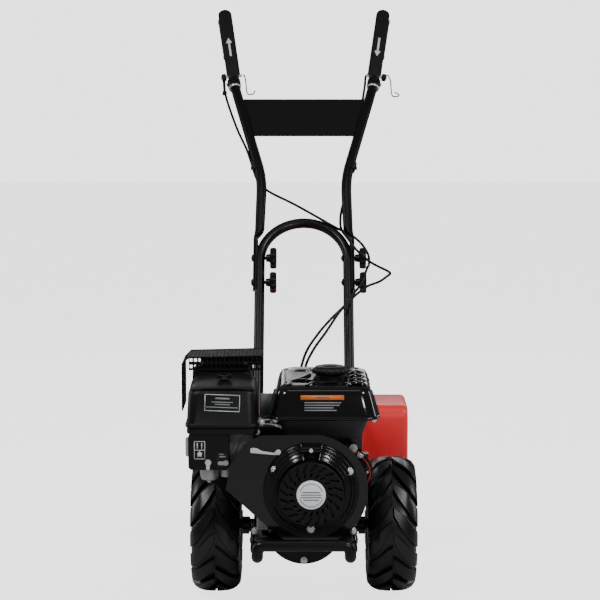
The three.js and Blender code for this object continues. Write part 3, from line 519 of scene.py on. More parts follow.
for side, sign in SIDES:
    def at_wheel(p, sign=sign):
        return (sign * HALF_TRACK + sign * p[0], p[1], p[2] + WHEEL_Z)
    piece(f"tyre_{side}_tread", "wheel_axle", "rubber", moved(tyre(), at_wheel), angle=38,
          replaces=(f"tyre_{side}",))
    piece(f"rim_{side}_dish", "wheel_axle", "rim", moved(rim(), at_wheel), replaces=(f"rim_{side}",))
    bolts = [rod(5.5, 6, 22, "z", (24, 0), 16)]
    for turn in (45, 135, 225, 315):
        y, z = RIM_BOLT_CIRCLE * cos(radians(turn)), RIM_BOLT_CIRCLE * sin(radians(turn))
        bolts.append(bolt((3, y, z), "x", 5, 4))
    piece(f"rim_{side}_bolts", "wheel_axle", "zinc", *[moved(b, at_wheel) for b in bolts], angle=40)
    valve = sweep([(8, 0, 50), (16, 0, 47), (24, 0, 41)], 3.2, 12, up=(0, 1, 0))
    piece(f"rim_{side}_valve", "wheel_axle", "matte", moved(valve, at_wheel))

axle = revolve([(0, -224), (8.8, -224), (10, -222.8), (10, 222.8), (8.8, 224), (0, 224)],
               "x", (0, WHEEL_Z), 40)
piece("axle_bar", "wheel_axle", "frame", axle, replaces=("axle_shaft",))
collars = [rod(14.5, s * 112, s * 128, "x", (0, WHEEL_Z), 40, 1.5) for s in (-1, 1)]
piece("axle_collars", "wheel_axle", "frame", *collars)
dress("bronze", "axle_worm_wheel", "tine_worm_wheel")


# ---------- gearbox, shafts and rotors ----------

CRANK_X, CRANK_Z = 14, 265
DRIVE_Z = 195    # centre of the drive shaft


def pear(u1, v1, r1, u2, v2, r2, steps=28):
    """Outline round two circles of different size."""
    heading = atan2(v2 - v1, u2 - u1)
    spread = acos((r1 - r2) / hypot(u2 - u1, v2 - v1))
    points = []
    for i in range(steps + 1):
        a = heading + spread + (2 * pi - 2 * spread) * i / steps
        points.append((u1 + r1 * cos(a), v1 + r1 * sin(a)))
    for i in range(steps + 1):
        a = heading - spread + 2 * spread * i / steps
        points.append((u2 + r2 * cos(a), v2 + r2 * sin(a)))
    return points


COVER_Z = 150    # centre of the front cover's large end
TINE_Y, TINE_Z = 430, 150
case_outline = pear(0, COVER_Z, 81, CRANK_X, CRANK_Z, 62)
case_ribs = [box(-3, 3, 40, 76, 165, 224), box(-60, -30, 18, 52, 146, 152),
             box(30, 60, 18, 52, 146, 152)]
fixed(
    "gearbox_casting", "casting",
    extrude(case_outline, "y", -60, -40),
    extrude(pear(0, COVER_Z, 78, CRANK_X, CRANK_Z, 59), "y", -40, -18),
    revolve([(60, -20), (80, -18), (81, -10), (81, 34), (76, 44), (60, 50), (40, 56)],
            "y", (0, COVER_Z), 64),
    revolve([(38, 44), (38, 62), (33, 70), (32, 84), (32, 372), (36, 380), (36, 392)],
            "y", (0, DRIVE_Z), 48),
    extrude(pear(TINE_Y, TINE_Z, 44, TINE_Y, DRIVE_Z, 38), "x", -26, 26),
    extrude(pear(TINE_Y, TINE_Z, 40, TINE_Y, DRIVE_Z, 34), "x", -32, 32),
    rod(26, -38, 38, "x", (TINE_Y, TINE_Z), 40, 2),
    box(-97, -70, 20, 56, 168, 184), box(70, 97, 20, 56, 168, 184),
    box(-30, 20, 16, 30, 215, 241), *case_ribs, bevel=2.5, replaces=("gearbox_case",),
)
case_bolts = []
for i in range(6):
    turn = 2 * pi * (i + 0.5) / 6
    y, z = TINE_Y + 36 * cos(turn), 160 + 30 * sin(turn)
    case_bolts += [bolt((31.5, y, z), "x", 4, 3.5), bolt((-31.5, y, z), "-x", 4, 3.5)]
fixed("gearbox_rear_bolts", "zinc", *case_bolts, angle=40)

cover_ring = pear(0, COVER_Z, 76, CRANK_X, CRANK_Z, 57)
cover_bolts = []
for degrees in (-90, -10, 30, 150, 190):
    turn = radians(degrees)
    cover_bolts.append(bolt((73 * cos(turn), -66.5, COVER_Z + 73 * sin(turn)), "-y", 5, 3.4, 1))
fixed("front_cover_plate", "frame", extrude(case_outline, "y", -64.5, -60.4),
      extrude(cover_ring, "y", -66.5, -62), bevel=1.0, replaces=("gearbox_front_cover",))
fixed("front_cover_bolts", "zinc", *cover_bolts, angle=40)
dress("alloy", "clutch_housing", "flywheel_fan", bevel=0.8)
dress("steel", "drive_shaft", "crankshaft")
dress("steel", "tine_shaft", bevel=1.0)
dress("tine", "tine_rotor_left", "tine_rotor_right", bevel=1.2)
rotor_bolts = []
for side, sign in SIDES:
    outwards = "x" if sign > 0 else "-x"
    for x, turn in ((101.2, 0), (175.2, 45)):
        for i in range(4):
            angle = radians(turn + 90 * i)
            y, z = TINE_Y + 30 * cos(angle), TINE_Z + 30 * sin(angle)
            rotor_bolts.append(bolt((sign * x, y, z), outwards, 5, 4))
piece("rotor_bolts", "tines", "zinc", *rotor_bolts, angle=40)


# ---------- tine hood, flap and skid ----------

def curve(start, pull, end, steps):
    """Points after start of the curve that pull bends on its way to end."""
    points = []
    for i in range(1, steps + 1):
        t = i / steps
        points.append(tuple((1 - t) ** 2 * a + 2 * t * (1 - t) * b + t * t * c
                            for a, b, c in zip(start, pull, end)))
    return points


HOOD_HALF, HOOD_TOP = 230, 343
side_view = [(258, 172), (262, 312), *curve((262, 312), (263, HOOD_TOP), (294, HOOD_TOP), 8),
             (400, HOOD_TOP), *curve((400, HOOD_TOP), (560, HOOD_TOP), (600, 200), 16)]
last = len(side_view)
shell = [(x, y, z) for x in (-HOOD_HALF, HOOD_HALF) for y, z in side_view]
faces = [tuple(range(last)), tuple(range(last, 2 * last))]
faces += [(i, i + 1, i + 1 + last, i + last) for i in range(last - 1)]
hood = fixed("hood_shell", "red", (shell, faces), angle=50, replaces=("tine_hood",))
soften(hood, "corners", 9, 60, segments=5)
thicken(hood, 2.5)

hem = [sweep([(x, 259, 178), (x, 600, 200)], 2.2, 12) for x in (-228.4, 228.4)]
hem.append(sweep([(-229, 600, 202), (229, 600, 202)], 2.2, 12))
pressed = []
for x in (-HOOD_HALF, HOOD_HALF):
    line = [(290, 208), (290, 318), (420, 322), (545, 222), (292, 206)]
    line = round_corners([(x, y, z) for y, z in line], 18)
    pressed.append(sweep(line, 1.8, 10, up=(1, 0, 0), squeeze=lambda i: (3.2, 1.2)))
gusset = extrude([(578, 240), (606, 240), (606, 288), (553, 288)], "x", -12, 12)
socket = [box(-20, -13.6, 604, 632, 236, 292), box(13.6, 20, 604, 632, 236, 292),
          box(-20, 20, 604, 611.4, 236, 292), box(-20, 20, 622.8, 632, 236, 292)]
fixed("hood_hems", "red", *hem, *pressed, gusset, *socket, bevel=0.8)
hood_bolts = [bolt((x, y, HOOD_TOP), "z", 5.5, 4) for x in (-20, 20) for y in (330, 400)]
fixed("hood_bolts", "zinc", *hood_bolts, angle=40)
dress("grip", "rear_flap", bevel=0.7)
dress("frame", "depth_skid", bevel=1.2)
dress("zinc", "skid_clamp_screw", bevel=0.6)
hinge_straps = [box(x - 9, x + 9, 601.4, 606.8, 176, 197.4) for x in (-180, -100, 100, 180)]
piece("flap_straps", "flap", "frame", *hinge_straps, bevel=0.8)


# ---------- engine frame and bumper ----------

dress("frame", "engine_frame", "handle_bracket", bevel=1.2)
RAIL_X, RAIL_Z, BAR_Y, BAR_Z, FOOT_Z = 92, 140.8, -321, 169, 144.6
half_rail = [(RAIL_X, -185.5, RAIL_Z), (RAIL_X, -245, RAIL_Z), (90, BAR_Y, FOOT_Z),
             (90, BAR_Y, BAR_Z)]
rail = round_corners([(-x, y, z) for x, y, z in half_rail] + half_rail[::-1], 12.1, 10)
fixed("bumper_tube", "tube", sweep(rail, 11.4, 28), replaces=("front_bumper",))
clamps = []
for s in (-1, 1):
    for y in (-224, -196):
        band = [(12.1, y - 7), (14.2, y - 6.4), (14.2, y + 6.4), (12.1, y + 7)]
        clamps.append(revolve(band, "y", (s * RAIL_X, RAIL_Z), 32, loop=True))
fixed("bumper_clamps", "frame", *clamps)
frame_bolts = []
for s in (-1, 1):
    out = "x" if s > 0 else "-x"
    for y, z in ((-160, 142), (-110, 142), (-46, 178), (-46, 150), (38, 176)):
        frame_bolts.append(bolt((s * 102.6, y, z), out, 6.2, 4.6))
    frame_bolts.append(bolt((s * 96.8, -181, 166), "-y", 5.4, 4.4))
    frame_bolts.append(bolt((s * 81, -184, 142), "-y", 5.4, 4.4))
    for y in (-166, -104):
        frame_bolts.append(bolt((s * 78 + 6, y, 168), "z", 6, 5))
fixed("frame_bolts", "zinc", *frame_bolts, angle=40)
foot = [box(-94, -70, -196, -180, 170, 198), box(70, 92, -196, -180, 170, 186)]
fixed("engine_foot", "alloy", *foot, bevel=2.5)
foot_marks = [box(-91, -73, -196.8, -195.6, z, z + 2.2) for z in (176, 182, 188)]
fixed("engine_foot_marks", "grey", *foot_marks)


# ---------- engine block, shroud and recoil starter ----------

dress("engine", "engine_crankcase", bevel=3)
dress("alloy", "cylinder_block", "cylinder_head", bevel=0.6)
dress("engine", "rocker_cover", bevel=1)
dress("matte", "spark_plug", bevel=0.5)

shroud = []
for i in range(49):
    turn = radians(80 - 215 * i / 48)
    shroud.append((CRANK_X + 98 * cos(turn), CRANK_Z + 98 * sin(turn)))
shroud += [(-139, 272), (-131, 306), (-108, 347), (-80, 361)]


def inset(outline, depth):
    """Outline moved inwards by depth."""
    out = []
    count = len(outline)
    for i, (u, v) in enumerate(outline):
        before, after = Vector(outline[i - 1]), Vector(outline[(i + 1) % count])
        a = (Vector((u, v)) - before).normalized()
        b = (after - Vector((u, v))).normalized()
        normal = Vector((-a.y - b.y, a.x + b.x))
        normal /= max(normal.length ** 2 / 2, 0.3)
        out.append((u - normal.x * depth, v - normal.y * depth))
    return out


SHROUD_LEVELS = [(-195, 0), (-243, 0), (-245, 0.5), (-246, 1.2), (-260.6, 11), (-261.7, 12),
                 (-262, 13)]
shroud_rings = [[(u, y, v) for u, v in inset(shroud, -depth)] for y, depth in SHROUD_LEVELS]
fixed("shroud_cowl", "gloss", loft(shroud_rings), angle=30, replaces=("fan_shroud",))
fixed("shroud_seam", "matte", extrude(inset(shroud, 0.9), "y", -200, -196))


def polar(radius, degrees, y):
    """Point round the crankshaft's axis."""
    angle = radians(degrees)
    return (CRANK_X + radius * cos(angle), y, CRANK_Z + radius * sin(angle))


rib_arcs = []
for radius, start, end, y in ((80, -42, 24, -267), (86.5, -36, 20, -266), (80, 206, 250, -267)):
    arc = [polar(radius, a, y) for a in range(start, end + 1, 3)]
    rib_arcs.append(sweep(arc, 2, 12, up=(0, 1, 0), squeeze=lambda i: (1.8, 3.4)))
fixed("shroud_ribs", "gloss", *rib_arcs)

CENTRE = (CRANK_X, CRANK_Z)
FACE_Y = -304.3    # front of the slotted cover
wall = revolve([(94, -262.5), (93.4, -266), (66.5, -267.5), (64.5, -270), (63.8, -292),
                (63.6, -300), (62.8, -303), (60.6, FACE_Y)], "y", CENTRE, 72)
open_wall = (wall[0], wall[1][:-2])
SLOT_COLUMNS = 60
# Rings of the slotted face: radius, and which columns are open between it and the one before.
FACE_RINGS = [(27, None), (34, None), (42.5, 0), (45.5, None), (60.4, 1), (62, None)]
grille_points, grille_faces = [], []
for radius, _ in FACE_RINGS:
    for i in range(SLOT_COLUMNS):
        degrees = 360 * i / SLOT_COLUMNS - 0.72 * (radius - 35)
        grille_points.append(polar(radius, degrees, FACE_Y))
for ring, (_, open_column) in enumerate(FACE_RINGS[1:]):
    for i in range(SLOT_COLUMNS):
        if i % 3 != open_column:
            a, b = ring * SLOT_COLUMNS, (ring + 1) * SLOT_COLUMNS
            j = (i + 1) % SLOT_COLUMNS
            grille_faces.append((a + i, a + j, b + j, b + i))
fixed("recoil_body", "matte", open_wall, angle=40, solid=0.8, replaces=("recoil_cover",))
fixed("recoil_grille", "matte", (grille_points, grille_faces), solid=2.4, bevel=0.5)
fixed("recoil_dark", "tine", rod(60, -294, -296, "y", CENTRE, 48))
stiffeners = [sweep([polar(36, 18 * i + 4, -297), polar(61, 18 * i - 14, -297)], 1.1, 8,
                    up=(0, 1, 0)) for i in range(20)]
fixed("recoil_inner_ribs", "matte", *stiffeners)

ridges = []
RIDGE_STEPS = 18
for start, end in ((26, 76), (103, 154)):
    angles = [start + (end - start) * k / RIDGE_STEPS for k in range(RIDGE_STEPS + 1)]
    section = ((66, -268), (66, -293), (70, -291), (92, -269.5), (95, -264), (95, -262.2))
    ridges.append(loft([[polar(radius, a, y) for radius, y in section] for a in angles]))
    for radius, y in ((68.5, -292.5), (75, -286.6), (81.5, -280.2), (88, -273.8)):
        ridges.append(sweep([polar(radius, a, y) for a in angles], 2.3, 12, up=(0, 1, 0)))
fixed("recoil_ridges", "gloss", *ridges, bevel=0.6)
FLANGE_BOLTS, BOSS_TOP = ((-56.7, 308.6), (88.7, 305.8), (13.5, 191.5)), -274.6
bosses = [rod(9.5, -262, BOSS_TOP, "y", place, 28, 2) for place in FLANGE_BOLTS]
fixed("recoil_bosses", "gloss", *bosses)
flange_bolts = [bolt((x, BOSS_TOP, z), "-y", 5, 4.2, 1.4) for x, z in FLANGE_BOLTS]
fixed("recoil_bolts", "zinc", *flange_bolts, angle=40)

badge = revolve([(0, -307.2), (25.5, -307.2), (28, -306.2), (28.4, -304.2), (0, -304.2)],
                "y", CENTRE, 72)
fixed("recoil_badge", "badge", badge)
badge_marks = []
MARKS = 26
for i in range(MARKS):
    for first in (20, 200):
        turn = radians(first + 140 * i / (MARKS - 1))
        corners = [(CRANK_X + cos(turn) * r - sin(turn) * w, -307.5,
                    CRANK_Z + sin(turn) * r + cos(turn) * w)
                   for r, w in ((21.5, -0.6), (23.8, -0.6), (23.8, 0.6), (21.5, 0.6))]
        badge_marks.append((corners, [(0, 1, 2, 3)]))
for z, half in ((5.5, 17), (0.5, 20), (-4.5, 20), (-9.5, 15)):
    z += CRANK_Z
    badge_marks.append(box(CRANK_X - half, CRANK_X + half, -307.6, -307.3, z - 0.9, z + 0.9))
fixed("recoil_badge_marks", "ink", *badge_marks)

ROPE_Y = -283
handle = [rod(6.2, -8, 34, "x", (ROPE_Y, 349), 24, 5),
          rod(5, ROPE_Y, -269, "y", (14, 349), 20, 1)]
piece("starter_handle", "starter", "gloss", *handle, replaces=("starter_grip",))
piece("starter_ferrule", "starter", "zinc", rod(4, -289.2, -291.5, "y", (14, 349), 20, 0.5))
piece("starter_rope", None, "grip", rod(2.2, 341, 347, "z", (14, ROPE_Y), 12, 0.2),
      across=("chassis", "starter", (14, ROPE_Y, 342), (14, ROPE_Y, 346)))
chute = [sweep([polar(66, a, -291), polar(93, a, -268)], 2.6, 12, up=(0, 1, 0))
         for a in (77, 102)]
fixed("rope_chute", "gloss", *chute)

blade = [(-104, 349), (-98, 350.5), (-91, 349.2), (-82, 344), (-58, 340.4), (-53, 345.6),
         (-48, 347), (-44.2, 343.2), (-46.2, 339.2), (-49.4, 337.1), (-56, 336.4),
         (-82, 338.6), (-96, 340), (-104, 340.4)]
piece("throttle_blade", "throttle", "plated", extrude(blade, "y", -268.4, -265.6),
      rod(5, -262.6, -271, "y", (-50, 341.5), 24, 0.8), bevel=0.5, replaces=("throttle_lever",))
dress("matte", "engine_switch", bevel=0.8)

fittings = [bolt((98, -193, 336), "-y", 5.5, 4), bolt((112, -193, 322), "-y", 4.4, 4),
            bolt((118, -176, 268), "x", 5, 4), rod(2.2, -200, -192, "y", (126, 288), 12)]
fixed("side_fittings", "zinc", *fittings, angle=40)
ignition_lead = [(116, -198, 318), (126, -206, 306), (131, -200, 284), (124, -186, 262),
                 (112, -170, 246)]
ground_lead = [(108, -196, 332), (122, -208, 322), (134, -204, 300), (132, -190, 276),
               (118, -172, 256)]
fixed("ignition_lead", "wire_red", sweep(flowing(ignition_lead), 1.7, 10))
fixed("ground_lead", "matte", sweep(flowing(ground_lead), 1.5, 10))
fixed("tank_bracket", "engine", box(56, 116, -188, -108, 328, 364), bevel=2)
fixed("side_bracket", "brown", box(117, 125, -128, -112, 206, 240), bevel=2)


# ---------- fuel tank ----------

def levels(rows):
    """Skin over level outlines: x0, x1, y0, y1, z, rise towards the back, corner radius."""
    rings = []
    for x0, x1, y0, y1, z, rise, radius in rows:
        rings.append([(u, v, z + rise * (v - y0) / (y1 - y0))
                      for u, v in round_rect(x0, x1, y0, y1, radius, 7)])
    return loft(rings)


TANK_LOWER = [(-38, 108, -220, -90, 360.6, 0, 20), (-43, 113, -225, -85, 362.5, 0, 22),
              (-45.5, 116, -228, -82, 367, 0, 23), (-52, 128, -238, -72, 399.5, 0, 24)]
TANK_FLANGE = [(-68, 147, -243, -65, 399.6, 0, 24), (-70.4, 149.4, -245.4, -62.6, 401, 0, 26),
               (-71, 150, -246, -62, 402.6, 0, 26), (-70.4, 149.4, -245.4, -62.6, 405.2, 0, 26),
               (-68, 147, -243.6, -64.5, 406.6, 0, 25)]
TANK_UPPER = [(-65, 144, -243, -65, 406.4, 0, 24), (-64, 143, -242.6, -65.4, 410, 0, 24),
              (-60.5, 139.5, -239.6, -66, 424, 0, 24), (-54.6, 133.4, -234.4, -67, 447, 0, 23),
              (-52.6, 131.4, -231.8, -69, 453, 5, 22), (-49.6, 128.4, -227.4, -72.4, 458, 13, 21),
              (-45, 124, -220, -78, 461.6, 18, 20), (-38, 117, -211, -86, 463.6, 19, 19),
              (-20, 98, -196, -100, 465.4, 12, 17)]
fixed("tank_lower_shell", "charcoal", levels(TANK_LOWER), angle=50)
fixed("tank_flange", "gloss", levels(TANK_FLANGE), angle=50)
fixed("tank_upper_shell", "gloss", levels(TANK_UPPER), angle=50, replaces=("fuel_tank",))

side_ribs = []
for i in range(4):
    y = -203 + 27 * i
    z = 463.2 + 14 * (y + 211) / 125
    line = flowing([(94, y + 8, z - 1), (103, y + 3, z + 3.4), (113, y, z + 2.4),
                    (122, y + 1, z - 4), (128, y + 5, z - 14)], 6)
    side_ribs.append(sweep(line, 7, 16, squeeze=lambda k: (8.4, 4.6)))
fixed("tank_side_ribs", "gloss", *side_ribs)
CREASES = [
    ([(-30, -208, 464), (-24, -180, 468), (-6, -162, 470.6), (8, -140, 474), (10, -100, 479)],
     (6, 3)),
    ([(6, -212, 463.6), (18, -196, 466.4), (56, -190, 467.4), (82, -199, 466), (92, -212, 463.4)],
     (5.6, 3)),
    ([(-34, -190, 466), (-18, -176, 469.4), (2, -176, 470), (22, -186, 468)], (4.6, 2.4)),
]
creases = [sweep(flowing(line), 4, 14, squeeze=lambda k, size=size: size)
           for line, size in CREASES]
fixed("tank_creases", "gloss", *creases)
straps = [extrude([(130, 446), (136.5, 447), (150, 402), (150, 398), (143, 398)], "y", -212, -150),
          extrude([(-52, 449), (-60, 449), (-70.6, 402), (-70.6, 399), (-60, 399)],
                  "y", -212, -150)]
fixed("tank_side_straps", "charcoal", *straps, bevel=2)


def tank_face(u, v, lift=0.35):
    """Point on the sloping front of the tank, just proud of it."""
    return (u, -242.6 + 8.2 * (v - 410) / 37 - lift, v)


fixed("tank_label_band", "orange", decal(-6.5, 78.5, 439.6, 448.4, tank_face), solid=0.2)
fixed("tank_label_mark", "ink", decal(23, 50, 442.6, 445.4, lambda u, v: tank_face(u, v, 0.65)))
label_lines = []
for k, (u0, u1) in enumerate(((1, 73), (1, 70), (1, 58), (1, 64))):
    v = 434.2 - 4.9 * k
    label_lines.append(decal(u0, u1, v - 1.1, v + 1.1, tank_face))
fixed("tank_label_lines", "grey", *label_lines, solid=0.2)

CAP_X, CAP_Y = 52.5, -142
CAP = [(0, 490.6), (10, 491.2), (17, 493), (25, 493.4), (29.5, 492.2), (32, 489.5), (34.6, 487),
       (35, 484), (35, 480.6), (33.4, 478.4), (0, 478.2)]
piece("cap_body", "cap", "matte", revolve(CAP, "z", (CAP_X, CAP_Y), 144, lobes=(24, 1.1)),
      angle=60, replaces=("fuel_cap",))
neck = revolve([(26, 462), (30, 466), (30, 474), (27.5, 477.6), (22, 477.6)],
               "z", (CAP_X, CAP_Y), 64)
fixed("tank_neck", "matte", neck)
piece("cap_grip", "cap", "matte",
      box(CAP_X - 24, CAP_X + 24, CAP_Y - 4, CAP_Y + 4, 489, 493.2), bevel=1.8, segments=3)
fixed("tank_screws", "zinc", *[bolt((x, -236, 401), "-z", 4.5, 4) for x in (-56, 136)], angle=40)


# ---------- air cleaner, carburettor and governor links ----------

CLEANER = [(-230.5, -88.5, -256.5, -123.5, 387.2, 0, 17), (-232, -87, -258, -122, 388.6, 0, 18),
           (-232, -87, -258, -122, 393, 0, 18), (-230.4, -88.6, -256.4, -123.6, 395, 0, 18),
           (-229, -90, -255, -125, 396, 0, 18), (-226.4, -92, -250.6, -127, 451, 2, 20),
           (-224, -94, -247.8, -129, 457.4, 7, 21), (-219.6, -98, -243.4, -133, 461.8, 10.4, 22),
           (-208, -105, -236, -140, 464.6, 12, 22), (-190, -124, -220, -158, 467, 10, 14)]
fixed("cleaner_cover", "matte", levels(CLEANER), angle=50, replaces=("air_cleaner_cover",))
ledge = flowing([(-218, -244, 461), (-190, -246, 463.4), (-157, -246.6, 464.2),
                 (-124, -246, 463.4), (-98, -244, 461)])
fixed("cleaner_ledge", "matte", sweep(ledge, 2, 12, squeeze=lambda k: (2.2, 2.2)))


def cleaner_face(u, v, turn=radians(-2), centre=(-159, 436)):
    """Point on the front of the air cleaner, on a label that hangs two degrees off level."""
    du, dv = u - centre[0], v - centre[1]
    x = centre[0] + du * cos(turn) - dv * sin(turn)
    z = centre[1] + du * sin(turn) + dv * cos(turn)
    return (x, -255 + 4.4 * (z - 396) / 55 - 0.4, z)


def frame_decals(u0, u1, v0, v1, line, place):
    """Four strips round a rectangle."""
    return [decal(u0, u1, v0, v0 + line, place), decal(u0, u1, v1 - line, v1, place),
            decal(u0, u0 + line, v0, v1, place), decal(u1 - line, u1, v0, v1, place)]


fixed("cleaner_label_frame", "white",
      *frame_decals(-193.5, -124.5, 419.5, 452.5, 1.5, cleaner_face), solid=0.2)
label_rows = [decal(-173, -145, 443, 446.4, cleaner_face)]
for half, v in ((21, 436.4), (15, 432), (31, 426.4)):
    label_rows.append(decal(-159 - half, -159 + half, v, v + 2, cleaner_face))
fixed("cleaner_label_rows", "grey", *label_rows, solid=0.2)

wing_nut = [(-171, 475), (-166, 474), (-148, 474), (-143, 475), (-142.8, 481), (-146, 484),
            (-151, 481.4), (-157, 479.6), (-163, 481.4), (-168, 484), (-171.2, 481)]
piece("cleaner_nut_wings", "cleaner_nut", "matte",
      revolve([(0, 471), (9, 471), (9.6, 474.4), (8, 476.6), (6, 478.4), (0, 478.6)],
              "z", (-157, -190), 32),
      extrude(wing_nut, "y", -192.4, -187.6), bevel=1, replaces=("air_cleaner_knob",))

base_outline = round_rect(-226, -146, 303, 375, 8)
fixed("cleaner_base", "matte", extrude(base_outline, "y", -246, -214),
      extrude(base_outline, "y", -252, -249),
      extrude(round_rect(-223.5, -148.5, 305.5, 372.5, 6), "y", -249.5, -245),
      levels([(-228, -91, -254, -126, 374, 0, 12), (-229, -90, -255, -125, 377, 0, 13),
              (-229, -90, -255, -125, 386.4, 0, 13)]),
      bevel=1.6, replaces=("air_cleaner_base",))
fixed("choke_recess", "tine", extrude(round_rect(-171, -150, 309, 338, 4), "y", -252.6, -251.4))
fixed("choke_tick", "grey", box(-165, -153, -253, -252.4, 329, 331.4),
      box(-165, -157, -253, -252.4, 334, 335.6))


def base_face(u, v):
    """Point on the front of the air cleaner's base."""
    return (u, -252.4, v)


symbol = frame_decals(-214.5, -192.8, 324.9, 360.7, 1.3, base_face)
for corners in ((-214.5, -192.8, 342.2, 343.6), (-209, -207, 346, 357), (-200.5, -198.5, 346, 357),
                (-208, -199, 330, 338), (-205, -202, 338, 341)):
    symbol.append(decal(*corners, base_face))
fixed("cleaner_symbol", "white", *symbol, solid=0.2)
dress("grey", "choke_lever", bevel=0.4)
dress("zinc", "fuel_valve_lever", bevel=0.6)

BOWL = (-186, -213)
fixed("carburettor_bowl", "alloy",
      revolve([(0, 302.4), (19, 302.4), (19.4, 298), (18.4, 285), (16, 278.4), (8, 276), (0, 276)],
              "z", BOWL, 40),
      revolve([(0, 302.4), (14, 302.4), (14.2, 290), (12, 284), (6, 283), (0, 283)],
              "z", (-152, -213), 32),
      rod(4.4, 276.4, 271, "z", BOWL, 6, 0.5), rod(6.5, 277, 275, "z", BOWL, 24, 0.4),
      angle=40, replaces=("carburettor",))
fixed("carburettor_body", "alloy", box(-204, -146, -211, -192, 299, 324),
      box(-202, -170, -211, -192, 322, 366), box(-172, -146, -208, -192, 328, 356),
      box(-160, -146, -194, -185.6, 330, 352), bevel=2)
fixed("side_lever", "white", extrude(round_rect(-232, -224, 328, 366, 3.4), "y", -240, -234),
      rod(5, -241, -233, "y", (-226, 348), 20), bevel=0.8)

staple = [(-79, -232, 366), (-79, -232, 376), (-78, -232, 378.4), (-68, -232, 378.4),
          (-67, -232, 376), (-67, -232, 366)]
link_rods = [flowing([(-88, -222, 402), (-80, -226, 398), (-66, -226, 399), (-54, -222, 392)]),
             flowing([(-92, -220, 384), (-74, -224, 390), (-50, -224, 384), (-34, -216, 372)])]
link_bolts = [bolt((-60, -216, 398), "-y", 4.6, 4), bolt((-84, -216, 392), "-y", 5, 4),
              bolt((-92, -214, 372), "-y", 4, 3)]
fixed("governor_links", "zinc", sweep(link_rods[0], 1.2, 8), sweep(staple, 1.3, 8),
      sweep(link_rods[1], 1.2, 8), *link_bolts, angle=40)
COIL_STEPS, COIL_TURNS = 80, 10
coil = []
for i in range(COIL_STEPS + 1):
    t = i / COIL_STEPS
    angle = 2 * pi * COIL_TURNS * t
    coil.append((-66 + 22 * t, -224 + 2.6 * cos(angle), 392 - 8 * t + 2.6 * sin(angle)))
fixed("governor_spring", "zinc", sweep(coil, 0.6, 6))
plate = extrude([(-100, 352), (-44, 352), (-40, 372), (-52, 404), (-98, 404)], "y", -214, -210)
fixed("governor_plate", "engine", plate, box(-100, -76, -214, -196, 352, 372), bevel=1.5)
fixed("intake_shield", "alloy", box(-87, -62, -152, -148, 372, 439), bevel=1.2)


# ---------- muffler and its guard ----------

can = []
for y, inwards in ((-92, 9), (-91, 4), (-87, 0.8), (-82, 0), (-51, 0), (-50, -1.6), (-48, -1.6),
                   (-47, 0), (-18, 0), (-13, 0.8), (-9, 4), (-8, 9)):
    outline = round_rect(-226 + inwards, -104 - inwards, 404 + inwards, 484 - inwards, 20)
    can.append([(u, y, v) for u, v in outline])
outlet = revolve([(11.6, -10), (14, -10), (14, 4.4), (13.4, 5), (12, 5), (11.6, -4)],
                 "y", (-190, 440), 32, loop=True)
fixed("muffler_can", "heat", loft(can), outlet, rod(18, 382, 406, "z", (-140, -60), 32, 1),
      angle=40, replaces=("muffler",))

GUARD_FRONT, GUARD_BACK, GUARD_SIDE = -107, 5, -245.6


def guard_top(u, v):
    """Point on the roof, which falls a little towards the air cleaner's side."""
    return (u, v, 508 - 4 * (-84 - u) / 150)


def guard_lip(u, v):
    return (u, GUARD_FRONT - 0.2, min(v, guard_top(u, 0)[2]))


fixed("guard_cage", "guard", lattice(-232, -86, 480, 506, 16, 2, (0.62, 0.5), guard_lip),
      lattice(-233, -84, GUARD_FRONT, GUARD_BACK, 20, 12, (0.4, 0.28), guard_top),
      lattice(0, 1, GUARD_FRONT, GUARD_BACK, 1, 5, (0.4, 0.6),
              lambda u, v: (-233 - 13.2 * u, v, 504 - 12 * u)),
      lattice(GUARD_FRONT, GUARD_BACK, 396.4, 492, 7, 7, (0.6, 0.62),
              lambda u, v: (GUARD_SIDE, u, v)),
      solid=1.6, replaces=("muffler_guard",))
fixed("guard_back", "guard", box(-214, -86, 2.6, 4.2, 474, 506), bevel=0.5)
EDGE_X = GUARD_SIDE + 0.4
guard_edges = []
for y in (GUARD_FRONT, 4):
    guard_edges.append(sweep([(EDGE_X, y, 397), (EDGE_X, y, 492), (-233, y, 504),
                              (-85, y, 507.6)], 1.7, 8, up=(0, 1, 0)))
guard_edges += [sweep([(-232, GUARD_FRONT, 480), (-86, GUARD_FRONT, 480)], 1.5, 8),
                sweep([(EDGE_X, GUARD_FRONT, 397), (EDGE_X, 4, 397)], 1.5, 8)]
for y in (GUARD_FRONT, 2):
    guard_edges.append(extrude([(-88, 396), (-84, 396), (-84, 507), (-88, 507)], "y", y, y + 4))
fixed("guard_edges", "guard", *guard_edges, bevel=0.5)
fixed("guard_bolts", "heat", *[bolt((x, -108.4, 492), "-y", 3.4, 2.6) for x in (-118, -206)],
      angle=40)


# ---------- handle frame, handlebar and knobs ----------

SLOPE = radians(55)
PIVOT_Y, PIVOT_Z = 430, 655.5
LEG_X, LEG_R, ARCH_DROP = 100, 11, 8
SLOPE_UP = (0, -sin(SLOPE), cos(SLOPE))


def on_slope(p):
    """Local point (x, along the handle, above it) to the machine's frame."""
    x, t, n = p
    return (x, PIVOT_Y + t * cos(SLOPE) - n * sin(SLOPE),
            PIVOT_Z + t * sin(SLOPE) + n * cos(SLOPE))


